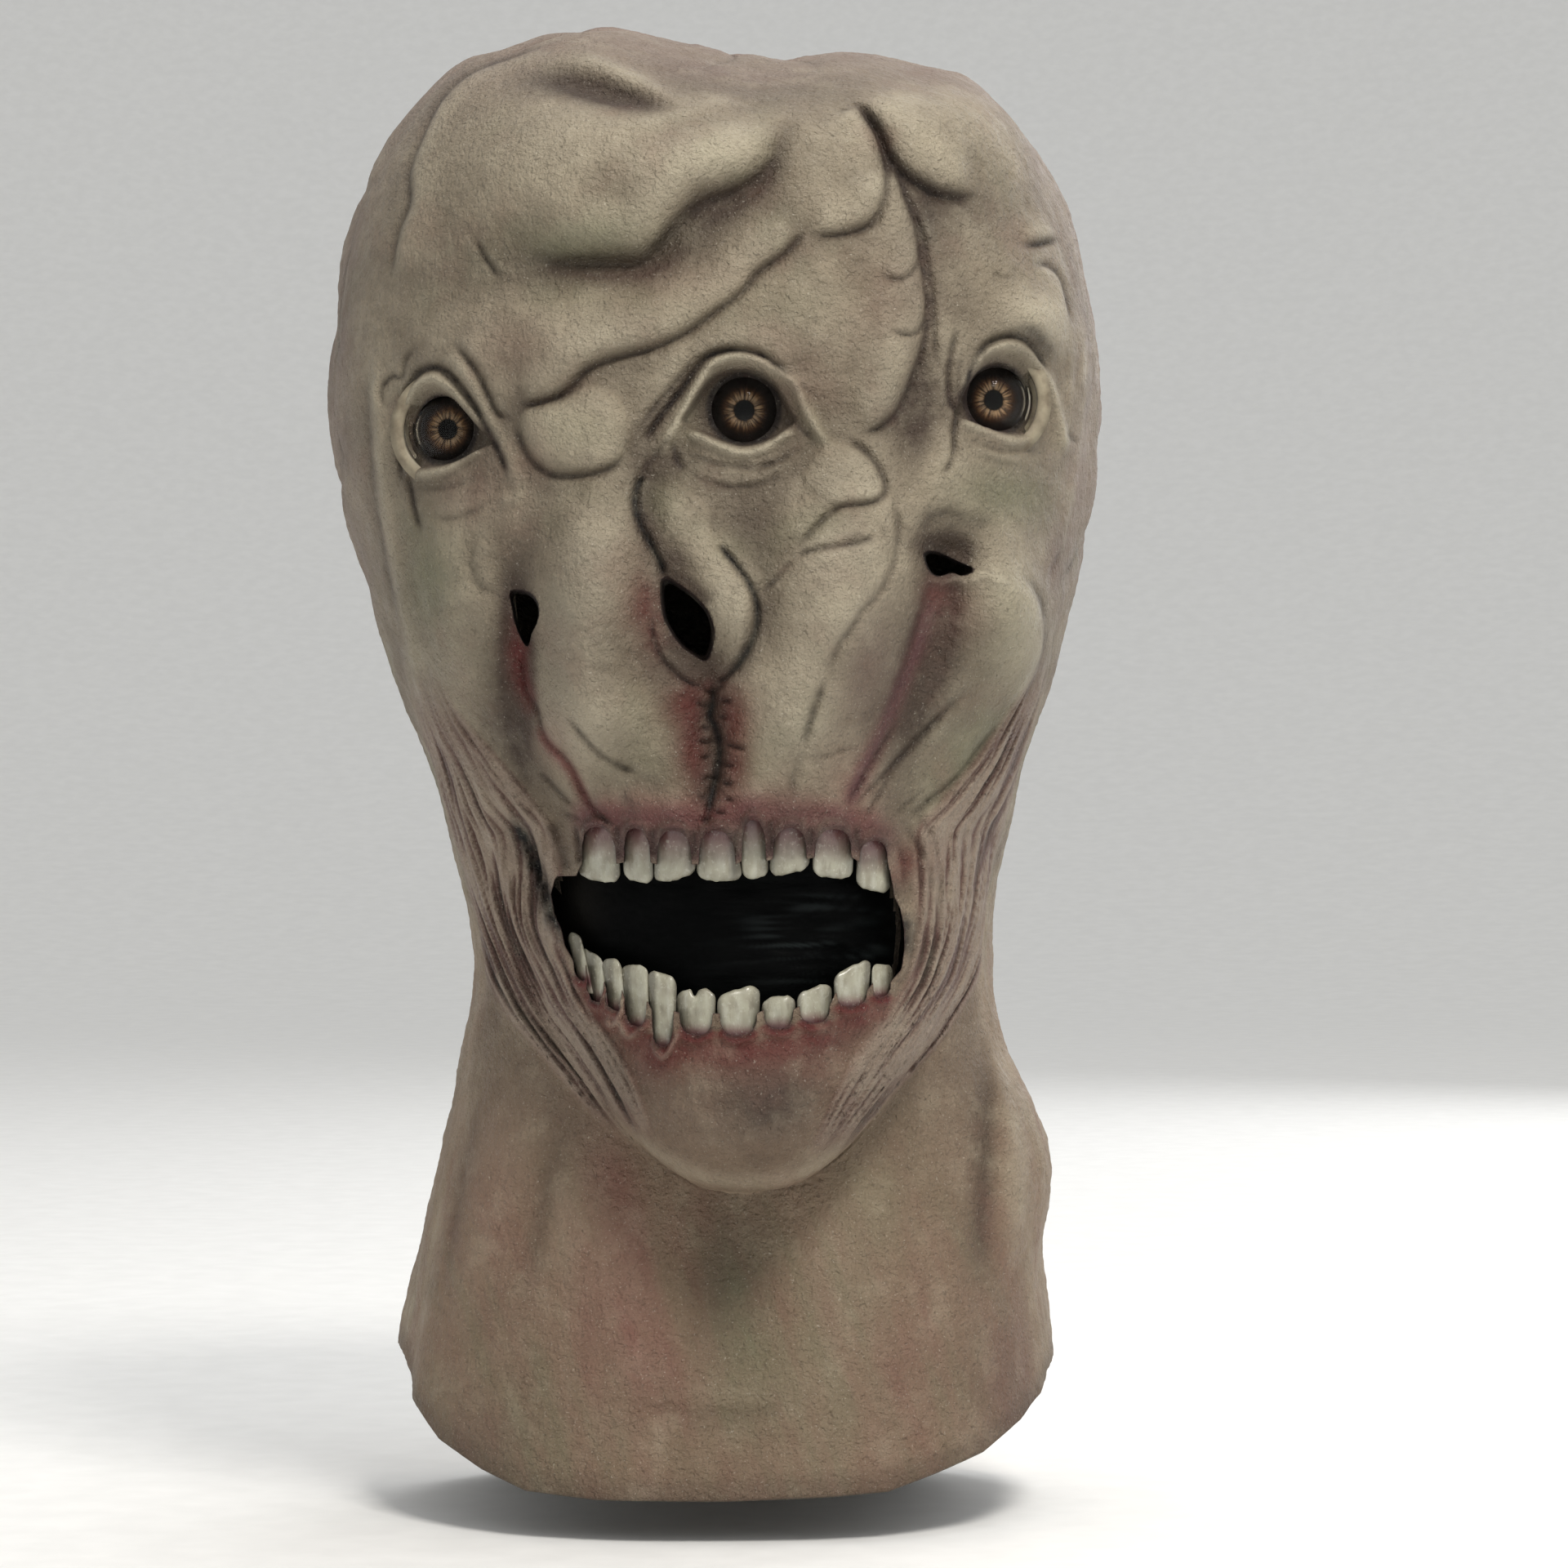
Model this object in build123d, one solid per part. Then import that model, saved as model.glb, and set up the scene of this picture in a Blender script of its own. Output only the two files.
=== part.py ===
from build123d import *
import math
import os

# ---------------------------------------------------------------------------
# Overhead latex mask: one moulded skin that covers head, face and neck, with
# three glued-in acrylic eyes, a black mouth lining and two rows of teeth.
# Millimetres. The face looks towards -Y, +X is the side on the right as seen
# from the front, +Z is up. The origin is the middle of the neck opening, level
# with the lowest point of the hem.
# ---------------------------------------------------------------------------

# ---- driving dimensions ----
WALL = 2.4                 # thickness of the moulded latex
HEM_DROP = 16.0            # how far the lofted body runs below the trimmed hem
HEAD_CENTRE_Y = 6.0        # depth at which the head is widest
POINTS_PER_SECTION = 28    # points of each closed section curve
FRONT_SQUARENESS = 2.35    # exponent of the flattened front half of a section
BACK_SQUARENESS = 2.05     # exponent of the rounder back half

# Cranium and neck: height, reach to the left, right, front and back of the axis
BODY_SECTIONS = [
    (-HEM_DROP, 102.0, 99.0, 90.0, 92.0),
    (12.0, 100.0, 98.0, 84.0, 90.0),
    (42.0, 98.0, 96.5, 77.0, 86.0),
    (72.0, 93.0, 94.0, 71.0, 80.0),
    (98.0, 87.0, 96.5, 67.0, 75.0),
    (118.0, 82.5, 92.0, 65.5, 71.0),
    (138.0, 79.0, 83.0, 65.0, 68.0),
    (160.0, 75.5, 79.0, 68.0, 68.0),
    (185.0, 79.0, 80.5, 80.0, 74.0),
    (212.0, 86.0, 86.5, 98.0, 83.0),
    (242.0, 97.0, 95.5, 110.0, 92.0),
    (275.0, 107.5, 104.0, 114.0, 100.0),
    (305.0, 115.5, 108.5, 112.5, 105.0),
    (335.0, 118.0, 111.5, 109.5, 108.0),
    (365.0, 115.5, 106.5, 106.0, 106.0),
    (390.0, 108.0, 98.0, 98.0, 98.0),
    (408.0, 98.5, 89.0, 87.0, 87.0),
    (421.0, 86.0, 76.0, 72.0, 72.0),
    (430.0, 71.0, 61.0, 54.0, 54.0),
    (435.5, 50.0, 42.0, 36.0, 37.0),
    (437.5, 30.0, 25.0, 21.0, 22.0),
]

# Jaw: height, half width, depth of its centre, reach forward from there
JAW_CENTRE_X = 6.0
JAW_BACK_REACH = 50.0      # the jaw's rounded back stays inside the neck
JAW_SECTIONS = [
    (99.5, 12.0, -72.0, 13.0),
    (102.5, 18.0, -71.0, 20.0),
    (107.0, 24.5, -67.0, 29.0),
    (115.0, 33.0, -58.0, 43.0),
    (126.0, 42.5, -48.0, 55.0),
    (138.0, 51.5, -38.0, 66.5),
    (152.0, 59.0, -30.0, 75.5),
    (172.0, 66.0, -20.0, 86.5),
    (195.0, 71.0, -12.0, 96.0),
    (216.0, 74.0, -11.0, 99.5),
    (240.0, 72.0, -16.0, 92.0),
    (262.0, 60.0, -22.0, 70.0),
]

# Hem of the bib: its trim line seen from the front, lower at the nape than at the throat
HEM_LINE = [
    (-112.0, 62.0), (-97.0, 40.0), (-92.0, 26.0), (-83.0, 15.5), (-70.0, 8.0), (-57.0, 2.6),
    (-36.0, 0.5), (0.0, 0.3), (30.0, 1.4), (47.0, 2.6), (62.0, 7.6), (75.0, 12.5), (86.0, 20.5),
    (92.0, 27.5), (96.5, 38.0), (112.0, 62.0),
]
HEM_BACK_Y = 90.0          # depth at which the trim line is at the heights above
HEM_RISE_TO_FRONT = 0.069  # how much higher it is for each millimetre further forward

# Eyes: name, position of the dome's centre on the face, yaw of its axis
EYES = {
    "left": (-77.5, -89.0, 315.5, -33.0),
    "center": (6.0, -111.0, 318.5, 0.0),
    "right": (76.5, -85.5, 324.0, 31.0),
}
EYE_SINK = 1.5             # how far the dome's tip stays below the face surface
CORNEA_BASE_R = 10.2
CORNEA_RISE = 5.6
CORNEA_BRIM_R = 12.6
CORNEA_BRIM_T = 1.2
CORNEA_WALL = 1.4
IRIS_R = 9.9
IRIS_T = 0.8
IRIS_DISH = 0.4
EYE_CUP_R = 11.0
EYE_CUP_DEPTH = 8.5
EYE_HOLE_R = 10.6
LID_R = 15.0
LID_RISE = 2.4
COLLAR_INNER_R = 13.0
COLLAR_OUTER_R = 17.0
COLLAR_DEPTH = 7.0
GLUE_GAP = 0.3             # glue line between bonded pieces

# Breathing and viewing holes through the skin: corner points seen from the front
NOSTRILS = {
    "left": [(-58.8, 267.6), (-53.5, 268.0), (-51.0, 263.5), (-52.3, 258.5), (-55.2, 253.2), (-57.6, 259.0)],
    "center": [(-16.8, 270.5), (-10.0, 269.5), (-3.0, 260.5), (-2.0, 255.0), (-5.0, 248.5),
               (-11.0, 252.0), (-15.6, 259.5)],
    "right": [(56.0, 277.5), (62.0, 279.5), (69.5, 275.5), (68.0, 271.5), (62.0, 271.5), (57.0, 273.0)],
}
HOLE_RUN = 40.0            # length of the cutters for the holes

# Mouth, seen from the front
MOUTH_OUTLINE = [
    (-52.0, 201.0), (-40.0, 205.0), (-22.0, 204.5), (2.0, 204.5), (22.0, 204.5), (38.0, 202.5),
    (50.0, 195.0), (56.5, 178.0), (55.5, 162.0), (47.0, 151.5), (34.0, 145.0), (18.0, 141.5),
    (0.0, 140.5), (-20.0, 140.5), (-35.0, 147.5), (-45.5, 160.0), (-52.5, 176.0), (-56.0, 191.0),
]
LINING_WALL = 1.6
LINING_DEPTH = 13.0        # from the face surface in to the black floor
MOUTH_FRONT_Y = -130.0
MOUTH_BACK_Y = -40.0

# Teeth: middle, width, biting edge height and gum height of each, seen from the front
TOOTH_THICKNESS = 6.0
TOOTH_SINK = 0.8           # how far the front of a tooth stays below the face surface
TOOTH_BEVEL = 1.6          # how much smaller the front of a tooth is than its back
TOOTH_ROOT = 3.0           # root that runs on past the gum line before it is trimmed
UPPER_TEETH = [
    (-43.0, 5.0, 187.5, 200.0),
    (-33.0, 8.4, 186.5, 201.5),
    (-23.2, 7.2, 186.5, 201.5),
    (-13.0, 10.2, 186.5, 201.5),
    (-1.2, 11.2, 187.0, 201.5),
    (9.0, 6.6, 187.5, 202.0),
    (17.6, 8.4, 188.5, 201.5),
    (30.6, 9.6, 187.5, 199.5),
    (41.8, 8.4, 184.5, 195.0),
]
LOWER_TEETH = [
    (-40.0, 4.6, 172.0, 159.5),
    (-34.0, 5.0, 166.0, 153.0),
    (-27.4, 6.4, 164.0, 149.0),
    (-18.6, 7.8, 160.5, 144.0),
    (-8.6, 9.4, 157.5, 143.5),
    (3.4, 10.4, 158.0, 143.5),
    (15.0, 8.6, 154.5, 144.5),
    (25.4, 8.6, 158.0, 146.5),
    (36.0, 9.0, 163.0, 151.0),
    (45.2, 6.0, 165.0, 157.0),
]


def body_point(angle, reach, inset):
    """Point of a cranium or neck section; angle 0 is the front, 90 degrees the right."""
    left, right, front, back = (r - inset for r in reach)
    s, c = math.sin(angle), math.cos(angle)
    across = right if s > 0 else left
    along = front + HEAD_CENTRE_Y if c > 0 else back - HEAD_CENTRE_Y
    n = BACK_SQUARENESS + (FRONT_SQUARENESS - BACK_SQUARENESS) * (1 + c) / 2
    radius = (abs(s / across) ** n + abs(c / along) ** n) ** (-1 / n)
    return radius * s, HEAD_CENTRE_Y - radius * c


def closed_section(points, z):
    """Planar face inside a smooth closed curve through the points."""
    curve = Spline(*[Vector(x, y, z) for x, y in points], periodic=True)
    return Face(Wire([curve]))


def body_solid(inset):
    """Cranium and neck without the jaw, all its reaches reduced by inset."""
    angles = [2 * math.pi * i / POINTS_PER_SECTION for i in range(POINTS_PER_SECTION)]
    faces = []
    for z, *reach in BODY_SECTIONS:
        height = z - inset if z > 400 or z < 0 else z
        faces.append(closed_section([body_point(a, reach, inset) for a in angles], height))
    return Solid.make_loft([f.outer_wire() for f in faces])


def jaw_solid(inset):
    """Forward chin and jaw as a stack of half ellipses, from the lowest that is wide enough."""
    angles = [2 * math.pi * i / POINTS_PER_SECTION for i in range(POINTS_PER_SECTION)]
    wires = []
    for z, half_width, centre_y, forward in JAW_SECTIONS:
        if half_width < inset + 5:
            continue
        backward = min(forward, JAW_BACK_REACH)
        points = []
        for angle in angles:
            reach = forward if math.cos(angle) > 0 else backward
            points.append((JAW_CENTRE_X + (half_width - inset) * math.sin(angle),
                           centre_y - (reach - inset) * math.cos(angle)))
        height = z + inset if z < 110 else z
        wires.append(closed_section(points, height).outer_wire())
    return Solid.make_loft(wires)


def head_solid(inset):
    return body_solid(inset) + jaw_solid(inset)


def front_prism(points, y_start, y_end):
    """Smooth outline in the front view, run straight back through the face."""
    outline = Spline(*[Vector(x, y_start, z) for x, z in points], periodic=True)
    return Solid.extrude(Face(Wire([outline])), Vector(0, y_end - y_start, 0))


def hem_keeper():
    """Everything above the trim line of the bib."""
    start_y, end_y = -160.0, 160.0
    top = BODY_SECTIONS[-1][0] + 40
    lift = HEM_RISE_TO_FRONT * (HEM_BACK_Y - start_y)
    trim = [Vector(x, start_y, z + lift) for x, z in HEM_LINE]
    line = Edge.make_spline(trim)
    frame = Wire.make_polygon([trim[-1], (140, start_y, top), (-140, start_y, top), trim[0]], close=False)
    outline = Face(Wire([line, *frame.edges()]))
    return Solid.extrude(outline, Vector(0, end_y - start_y, HEM_RISE_TO_FRONT * (start_y - end_y)))


def eye_plane(name):
    """Plane whose Z runs out of the face along the eye's axis."""
    x, y, z, yaw = EYES[name]
    a = math.radians(yaw)
    outward = Vector(math.sin(a), -math.cos(a), 0)
    return Plane(origin=(x, y, z), x_dir=(math.cos(a), math.sin(a), 0), z_dir=outward)


def turned(name, profile):
    """Solid of revolution about an eye's axis; the profile is radius against distance outwards."""
    half = Polyline(*[(r, 0, w) for r, w in profile], close=True)
    return eye_plane(name) * revolve(make_face(half), axis=Axis.Z)


def dome_points(radius, rise, steps=10):
    """Half outline of a spherical cap from its rim to its tip, its rim at height 0."""
    sphere = (radius ** 2 + rise ** 2) / (2 * rise)
    end = math.asin(radius / sphere)
    return [(sphere * math.sin(end * (1 - i / steps)),
             sphere * math.cos(end * (1 - i / steps)) - sphere + rise) for i in range(steps + 1)]


BRIM_FRONT = -EYE_SINK - CORNEA_RISE       # front of the cornea's brim, along the eye's axis
BRIM_BACK = BRIM_FRONT - CORNEA_BRIM_T


def cornea(name):
    """Clear dome with a flat brim that is bonded behind the skin."""
    outer = [(r, w + BRIM_FRONT) for r, w in dome_points(CORNEA_BASE_R, CORNEA_RISE)]
    inner = [(r, w + BRIM_BACK) for r, w in dome_points(CORNEA_BASE_R - CORNEA_WALL, CORNEA_RISE - 0.6)]
    profile = [(CORNEA_BRIM_R, BRIM_BACK), (CORNEA_BRIM_R, BRIM_FRONT)] + outer + inner[::-1]
    return turned(name, profile)


def iris(name):
    """Printed disc behind the dome, dished a little towards the pupil."""
    front = BRIM_BACK - 0.1
    back = front - IRIS_T
    return turned(name, [(0, back - IRIS_DISH), (IRIS_R, back), (IRIS_R, front), (0, front - IRIS_DISH)])


def eye_cup(name):
    """White half-round body that closes the eye from behind."""
    front = BRIM_BACK - IRIS_T - IRIS_DISH - 0.2
    arc = [(r, front - w) for r, w in dome_points(EYE_CUP_R, EYE_CUP_DEPTH)]
    return turned(name, [(0, front), (EYE_CUP_R, front)] + arc[1:])


def collar(name):
    """Latex ring glued behind the skin; it grips the brim of the dome."""
    front = BRIM_FRONT + 0.6
    lip = BRIM_BACK - GLUE_GAP
    return turned(name, [
        (COLLAR_INNER_R, front), (COLLAR_OUTER_R, front - 1.0), (COLLAR_OUTER_R - 1.5, front - COLLAR_DEPTH),
        (EYE_CUP_R + 0.6, front - COLLAR_DEPTH), (EYE_CUP_R + 0.6, lip), (COLLAR_INNER_R, lip),
    ])


def eye_cutters(name):
    """Hole through the skin and the hollow behind it that the eye sits in."""
    hole = turned(name, [(0, -30), (EYE_HOLE_R, -30), (EYE_HOLE_R, 12), (0, 12)])
    seat = turned(name, [
        (0, -30), (COLLAR_OUTER_R + 0.6, -30), (COLLAR_OUTER_R + 0.6, BRIM_FRONT + 0.9), (0, BRIM_FRONT + 0.9),
    ])
    return hole, seat


def lid(name):
    """Raised rim of the eyelids, moulded with the skin, with the socket wall behind it."""
    return turned(name, [
        (EYE_HOLE_R, BRIM_FRONT + 1.0), (COLLAR_OUTER_R, BRIM_FRONT + 1.0), (COLLAR_OUTER_R, -1.0),
        (LID_R, LID_RISE - 0.6), (LID_R - 1.6, LID_RISE), (EYE_HOLE_R, 0.4),
    ])


def latex_skin():
    """The moulded skin: a shell open at the neck, at the eyes, the nostrils and the mouth."""
    skin = head_solid(0.0) - head_solid(WALL)
    for name in EYES:
        skin += lid(name)
    for name in EYES:
        for cutter in eye_cutters(name):
            skin -= cutter
    for name, outline in NOSTRILS.items():
        middle_y = -112.0 if name == "center" else -98.0
        skin -= front_prism(outline, middle_y - HOLE_RUN, middle_y + HOLE_RUN)
    skin -= front_prism(MOUTH_OUTLINE, MOUTH_FRONT_Y, MOUTH_BACK_Y)
    return skin & hem_keeper()


def grown(points, distance):
    """The outline's points moved away from their middle by a distance."""
    mx = sum(x for x, z in points) / len(points)
    mz = sum(z for x, z in points) / len(points)
    moved = []
    for x, z in points:
        scale = 1 + distance / math.hypot(x - mx, z - mz)
        moved.append((mx + (x - mx) * scale, mz + (z - mz) * scale))
    return moved


def mouth_lining():
    """Black tray behind the lips, its floor curved like the jaw."""
    around = front_prism(grown(MOUTH_OUTLINE, LINING_WALL), MOUTH_FRONT_Y, MOUTH_BACK_Y)
    hollow = front_prism(MOUTH_OUTLINE, MOUTH_FRONT_Y, MOUTH_BACK_Y)
    space = head_solid(WALL + GLUE_GAP) - jaw_solid(LINING_DEPTH + LINING_WALL)
    return (around & space) - (hollow - jaw_solid(LINING_DEPTH))


def jaw_front(x, z):
    """Depth and yaw of the jaw's front surface at a place seen from the front."""
    for low, high in zip(JAW_SECTIONS, JAW_SECTIONS[1:]):
        if low[0] <= z <= high[0]:
            t = (z - low[0]) / (high[0] - low[0])
            half_width, centre_y, forward = (a + (b - a) * t for a, b in zip(low[1:], high[1:]))
    across = (x - JAW_CENTRE_X) / half_width
    along = math.sqrt(1 - across ** 2)
    return centre_y - forward * along, math.atan2(across / half_width, along / forward)


def tooth(x, width, edge_z, gum_z):
    """Bevelled block that stands on the arch, with its root past the gum line."""
    root_z = gum_z + math.copysign(TOOTH_ROOT, gum_z - edge_z)
    height, middle_z = abs(root_z - edge_z), (root_z + edge_z) / 2
    y, yaw = jaw_front(x, (edge_z + gum_z) / 2)
    front = Plane(origin=(x, y, middle_z), x_dir=(math.cos(yaw), math.sin(yaw), 0),
                  z_dir=(math.sin(yaw), -math.cos(yaw), 0))
    corner = 0.3 * width
    face = RectangleRounded(width - TOOTH_BEVEL, height - TOOTH_BEVEL, corner)
    back = RectangleRounded(width, height, corner)
    return front * loft([Pos(0, 0, -TOOTH_SINK) * face, Pos(0, 0, -TOOTH_SINK - TOOTH_THICKNESS) * back])


def tooth_row(teeth):
    """A row of separate teeth, trimmed clear of the lips and of the lining's wall."""
    mouth = front_prism(grown(MOUTH_OUTLINE, -GLUE_GAP), MOUTH_FRONT_Y, MOUTH_BACK_Y)
    return Compound([solid for size in teeth for solid in (tooth(*size) & mouth).solids()])


def main():
    os.makedirs("parts", exist_ok=True)
    skin = latex_skin()
    export_step(skin, "parts/latex_skin.step")
    for name in EYES:
        export_step(cornea(name), f"parts/eye_{name}_cornea.step")
        export_step(iris(name), f"parts/eye_{name}_iris.step")
        export_step(eye_cup(name), f"parts/eye_{name}_cup.step")
        export_step(collar(name), f"parts/eye_{name}_collar.step")
    export_step(mouth_lining(), "parts/mouth_lining.step")
    export_step(tooth_row(UPPER_TEETH), "parts/upper_teeth.step")
    export_step(tooth_row(LOWER_TEETH), "parts/lower_teeth.step")


main()
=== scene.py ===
"""Looks of the overhead latex mask: sculpted and painted skin, glossy mouth, teeth and domed eyes."""
import math

import bpy
import mathutils
import numpy as np
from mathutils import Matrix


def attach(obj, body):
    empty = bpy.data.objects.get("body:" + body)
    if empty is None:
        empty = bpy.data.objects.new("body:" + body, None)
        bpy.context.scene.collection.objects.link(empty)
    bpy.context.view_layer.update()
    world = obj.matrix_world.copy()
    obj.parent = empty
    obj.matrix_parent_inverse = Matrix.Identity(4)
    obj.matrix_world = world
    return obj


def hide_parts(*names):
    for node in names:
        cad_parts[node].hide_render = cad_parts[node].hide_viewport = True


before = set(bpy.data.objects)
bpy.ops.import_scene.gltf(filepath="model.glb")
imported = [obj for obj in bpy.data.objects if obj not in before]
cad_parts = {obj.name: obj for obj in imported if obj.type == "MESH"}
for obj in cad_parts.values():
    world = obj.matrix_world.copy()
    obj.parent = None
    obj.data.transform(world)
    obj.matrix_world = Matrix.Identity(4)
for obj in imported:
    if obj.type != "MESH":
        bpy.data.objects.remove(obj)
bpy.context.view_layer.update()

# ---------------------------------------------------------------------------
# Sizes. Lengths are millimetres in the row frame until a mesh is made; the face
# looks towards -Y, +X is on the right as seen from the front, +Z is up.
# ---------------------------------------------------------------------------
MM = 0.001
CAMERA_X = 17.1            # the camera stands a little to the right of the mask's axis
CAMERA_Z = 214.4
CAMERA_DISTANCE = 1500.0
VIEW_WIDTH = 468.9         # width of the picture at the mask's axis

HEAD_CENTRE_Y = 6.0        # depth of the axis that sections are measured from
FRONT_SQUARENESS = 2.35
BACK_SQUARENESS = 2.05

# Cranium and neck: height, reach to the left, right, front and back of the axis
BODY = np.array([
    (-16.0, 102.0, 99.0, 90.0, 92.0),
    (12.0, 100.0, 98.0, 84.0, 90.0),
    (42.0, 98.0, 96.5, 77.0, 86.0),
    (72.0, 93.0, 94.0, 71.0, 80.0),
    (98.0, 87.0, 96.5, 67.0, 75.0),
    (118.0, 82.5, 92.0, 65.5, 71.0),
    (138.0, 79.0, 83.0, 65.0, 68.0),
    (160.0, 75.5, 79.0, 68.0, 68.0),
    (185.0, 79.0, 80.5, 80.0, 74.0),
    (212.0, 86.0, 86.5, 98.0, 83.0),
    (242.0, 97.0, 95.5, 110.0, 92.0),
    (275.0, 107.5, 104.0, 114.0, 100.0),
    (305.0, 115.5, 108.5, 112.5, 105.0),
    (335.0, 118.0, 111.5, 109.5, 108.0),
    (365.0, 115.5, 106.5, 106.0, 106.0),
    (390.0, 108.0, 98.0, 98.0, 98.0),
    (408.0, 98.5, 89.0, 87.0, 87.0),
    (421.0, 86.0, 76.0, 72.0, 72.0),
    (430.0, 71.0, 61.0, 54.0, 54.0),
    (435.5, 50.0, 42.0, 36.0, 37.0),
    (437.5, 30.0, 25.0, 21.0, 22.0),
    (438.0, 7.0, 7.0, 1.0, 13.0),
])

# Jaw: height, half width, depth of its centre, reach forward from there
JAW_CENTRE_X = 6.0
JAW_LOWEST, JAW_TOP = 98.0, 262.0
JAW_BLEND = 3.0            # rounding where the jaw runs into the neck
JAW = np.array([
    (98.0, 2.0, -74.0, 3.0),
    (99.5, 12.0, -72.0, 13.0),
    (102.5, 18.0, -71.0, 20.0),
    (107.0, 24.5, -67.0, 29.0),
    (115.0, 33.0, -58.0, 43.0),
    (126.0, 42.5, -48.0, 55.0),
    (138.0, 51.5, -38.0, 66.5),
    (152.0, 59.0, -30.0, 75.5),
    (172.0, 66.0, -20.0, 86.5),
    (195.0, 71.0, -12.0, 96.0),
    (216.0, 74.0, -11.0, 99.5),
    (240.0, 72.0, -16.0, 92.0),
    (262.0, 60.0, -22.0, 70.0),
])

# Hem of the bib: its trim line seen from the front, lower at the nape than at the throat
HEM_LINE = np.array([
    (-112.0, 62.0), (-97.0, 40.0), (-92.0, 26.0), (-83.0, 15.5), (-70.0, 8.0), (-57.0, 2.6),
    (-36.0, 0.5), (0.0, 0.3), (30.0, 1.4), (47.0, 2.6), (62.0, 7.6), (75.0, 12.5), (86.0, 20.5),
    (92.0, 27.5), (96.5, 38.0), (112.0, 62.0),
])
HEM_BACK_Y = 90.0          # depth at which the trim line is at the heights above
HEM_RISE_TO_FRONT = 0.069  # how much higher it is for each millimetre further forward
HEM_PASSES = 60            # steps that settle the trim line on the curved bib
HEM_REACH = 96.0           # height up to which the rows of the mesh bend to follow the hem

# Eyes: middle of the dome on the face, yaw of its axis
EYES = {
    "left": (-80.6, -88.5, 314.8, -17.0),
    "center": (6.0, -111.0, 318.5, 0.0),
    "right": (79.0, -84.5, 323.4, 16.0),
}
DOME_R = 10.2
DOME_RISE = 5.6
BRIM_R = 12.6
BRIM_FRONT = -7.1          # front of the dome's brim, along the eye's axis
BRIM_T = 1.2
IRIS_R = 9.9
EYE_HOLE_R = 9.0           # edge of the skin round the dome

NOSTRILS = {
    "left": [(-59.2, 268.2), (-56.0, 268.5), (-52.8, 267.6), (-50.6, 265.4), (-49.9, 262.5), (-50.8, 259.2),
             (-52.8, 256.2), (-54.2, 252.8), (-56.2, 254.6), (-58.0, 258.8), (-58.7, 263.0)],
    "center": [(-17.0, 270.0), (-15.0, 271.5), (-11.5, 269.5), (-7.5, 266.5), (-4.0, 262.5), (-2.2, 258.0),
               (-2.4, 253.0), (-4.2, 248.6), (-7.0, 249.4), (-11.0, 252.2), (-14.2, 256.5), (-16.4, 261.5)],
    "right": [(56.0, 278.6), (56.8, 275.2), (59.0, 272.8), (61.5, 272.6), (64.5, 273.6), (67.0, 272.8),
              (70.0, 274.6), (66.5, 276.8), (62.5, 278.8), (58.5, 279.6)],
}

# Teeth as seen from the front: left and right side at the gum, the same at the biting edge,
# height of the gum's arch, of the papilla beside it and of the edge at its left and right end
UPPER_TEETH = [
    (-39.6, -30.0, -40.6, -29.3, 202.6, 192.0, 187.6, 186.4),
    (-28.2, -20.2, -27.7, -19.6, 202.2, 192.5, 187.6, 186.4),
    (-18.4, -8.8, -18.8, -7.8, 201.6, 192.0, 186.4, 189.0),
    (-7.1, 2.6, -6.8, 5.0, 201.6, 192.0, 187.6, 187.0),
    (4.4, 12.3, 5.6, 12.5, 204.6, 193.0, 188.0, 188.4),
    (14.1, 23.4, 13.4, 23.9, 202.4, 193.5, 188.4, 190.4),
    (25.2, 36.4, 25.5, 36.0, 202.0, 194.0, 188.6, 187.6),
    (38.2, 46.0, 37.6, 46.8, 198.6, 192.5, 185.4, 183.2),
]
LOWER_TEETH = [
    (-40.6, -36.6, -44.4, -40.2, 158.6, 164.0, 172.6, 171.0),
    (-36.4, -32.2, -40.4, -34.2, 153.0, 159.0, 168.0, 165.6),
    (-31.2, -27.2, -34.4, -28.8, 150.6, 156.5, 165.0, 165.0),
    (-26.4, -20.7, -28.6, -21.2, 146.4, 154.0, 163.6, 163.6),
    (-19.1, -13.5, -20.8, -13.2, 141.0, 151.0, 162.6, 160.4),
    (-11.9, -2.6, -12.6, -2.3, 144.4, 150.5, 157.0, 157.2),
    (-1.0, 9.6, -1.1, 10.0, 144.4, 150.5, 156.0, 158.6),
    (11.2, 19.8, 11.2, 20.0, 146.2, 151.5, 154.6, 155.6),
    (21.4, 30.0, 21.0, 30.2, 147.6, 152.5, 156.2, 159.0),
    (31.6, 40.0, 31.4, 41.2, 152.0, 156.5, 161.4, 165.6),
    (41.6, 46.6, 42.0, 47.8, 154.4, 158.5, 164.0, 163.0),
]
TOOTH_THICKNESS = 6.0

GRID_STEP = 0.5            # cell of the flat fields that the relief is drawn in
SKIN_THICKNESS = 2.4


# ---------------------------------------------------------------------------
# Small mathematics
# ---------------------------------------------------------------------------
def smoothstep(low, high, value):
    t = np.clip((value - low) / (high - low), 0.0, 1.0)
    return t * t * (3.0 - 2.0 * t)


def mix(a, b, t):
    return a + (b - a) * t


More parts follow.
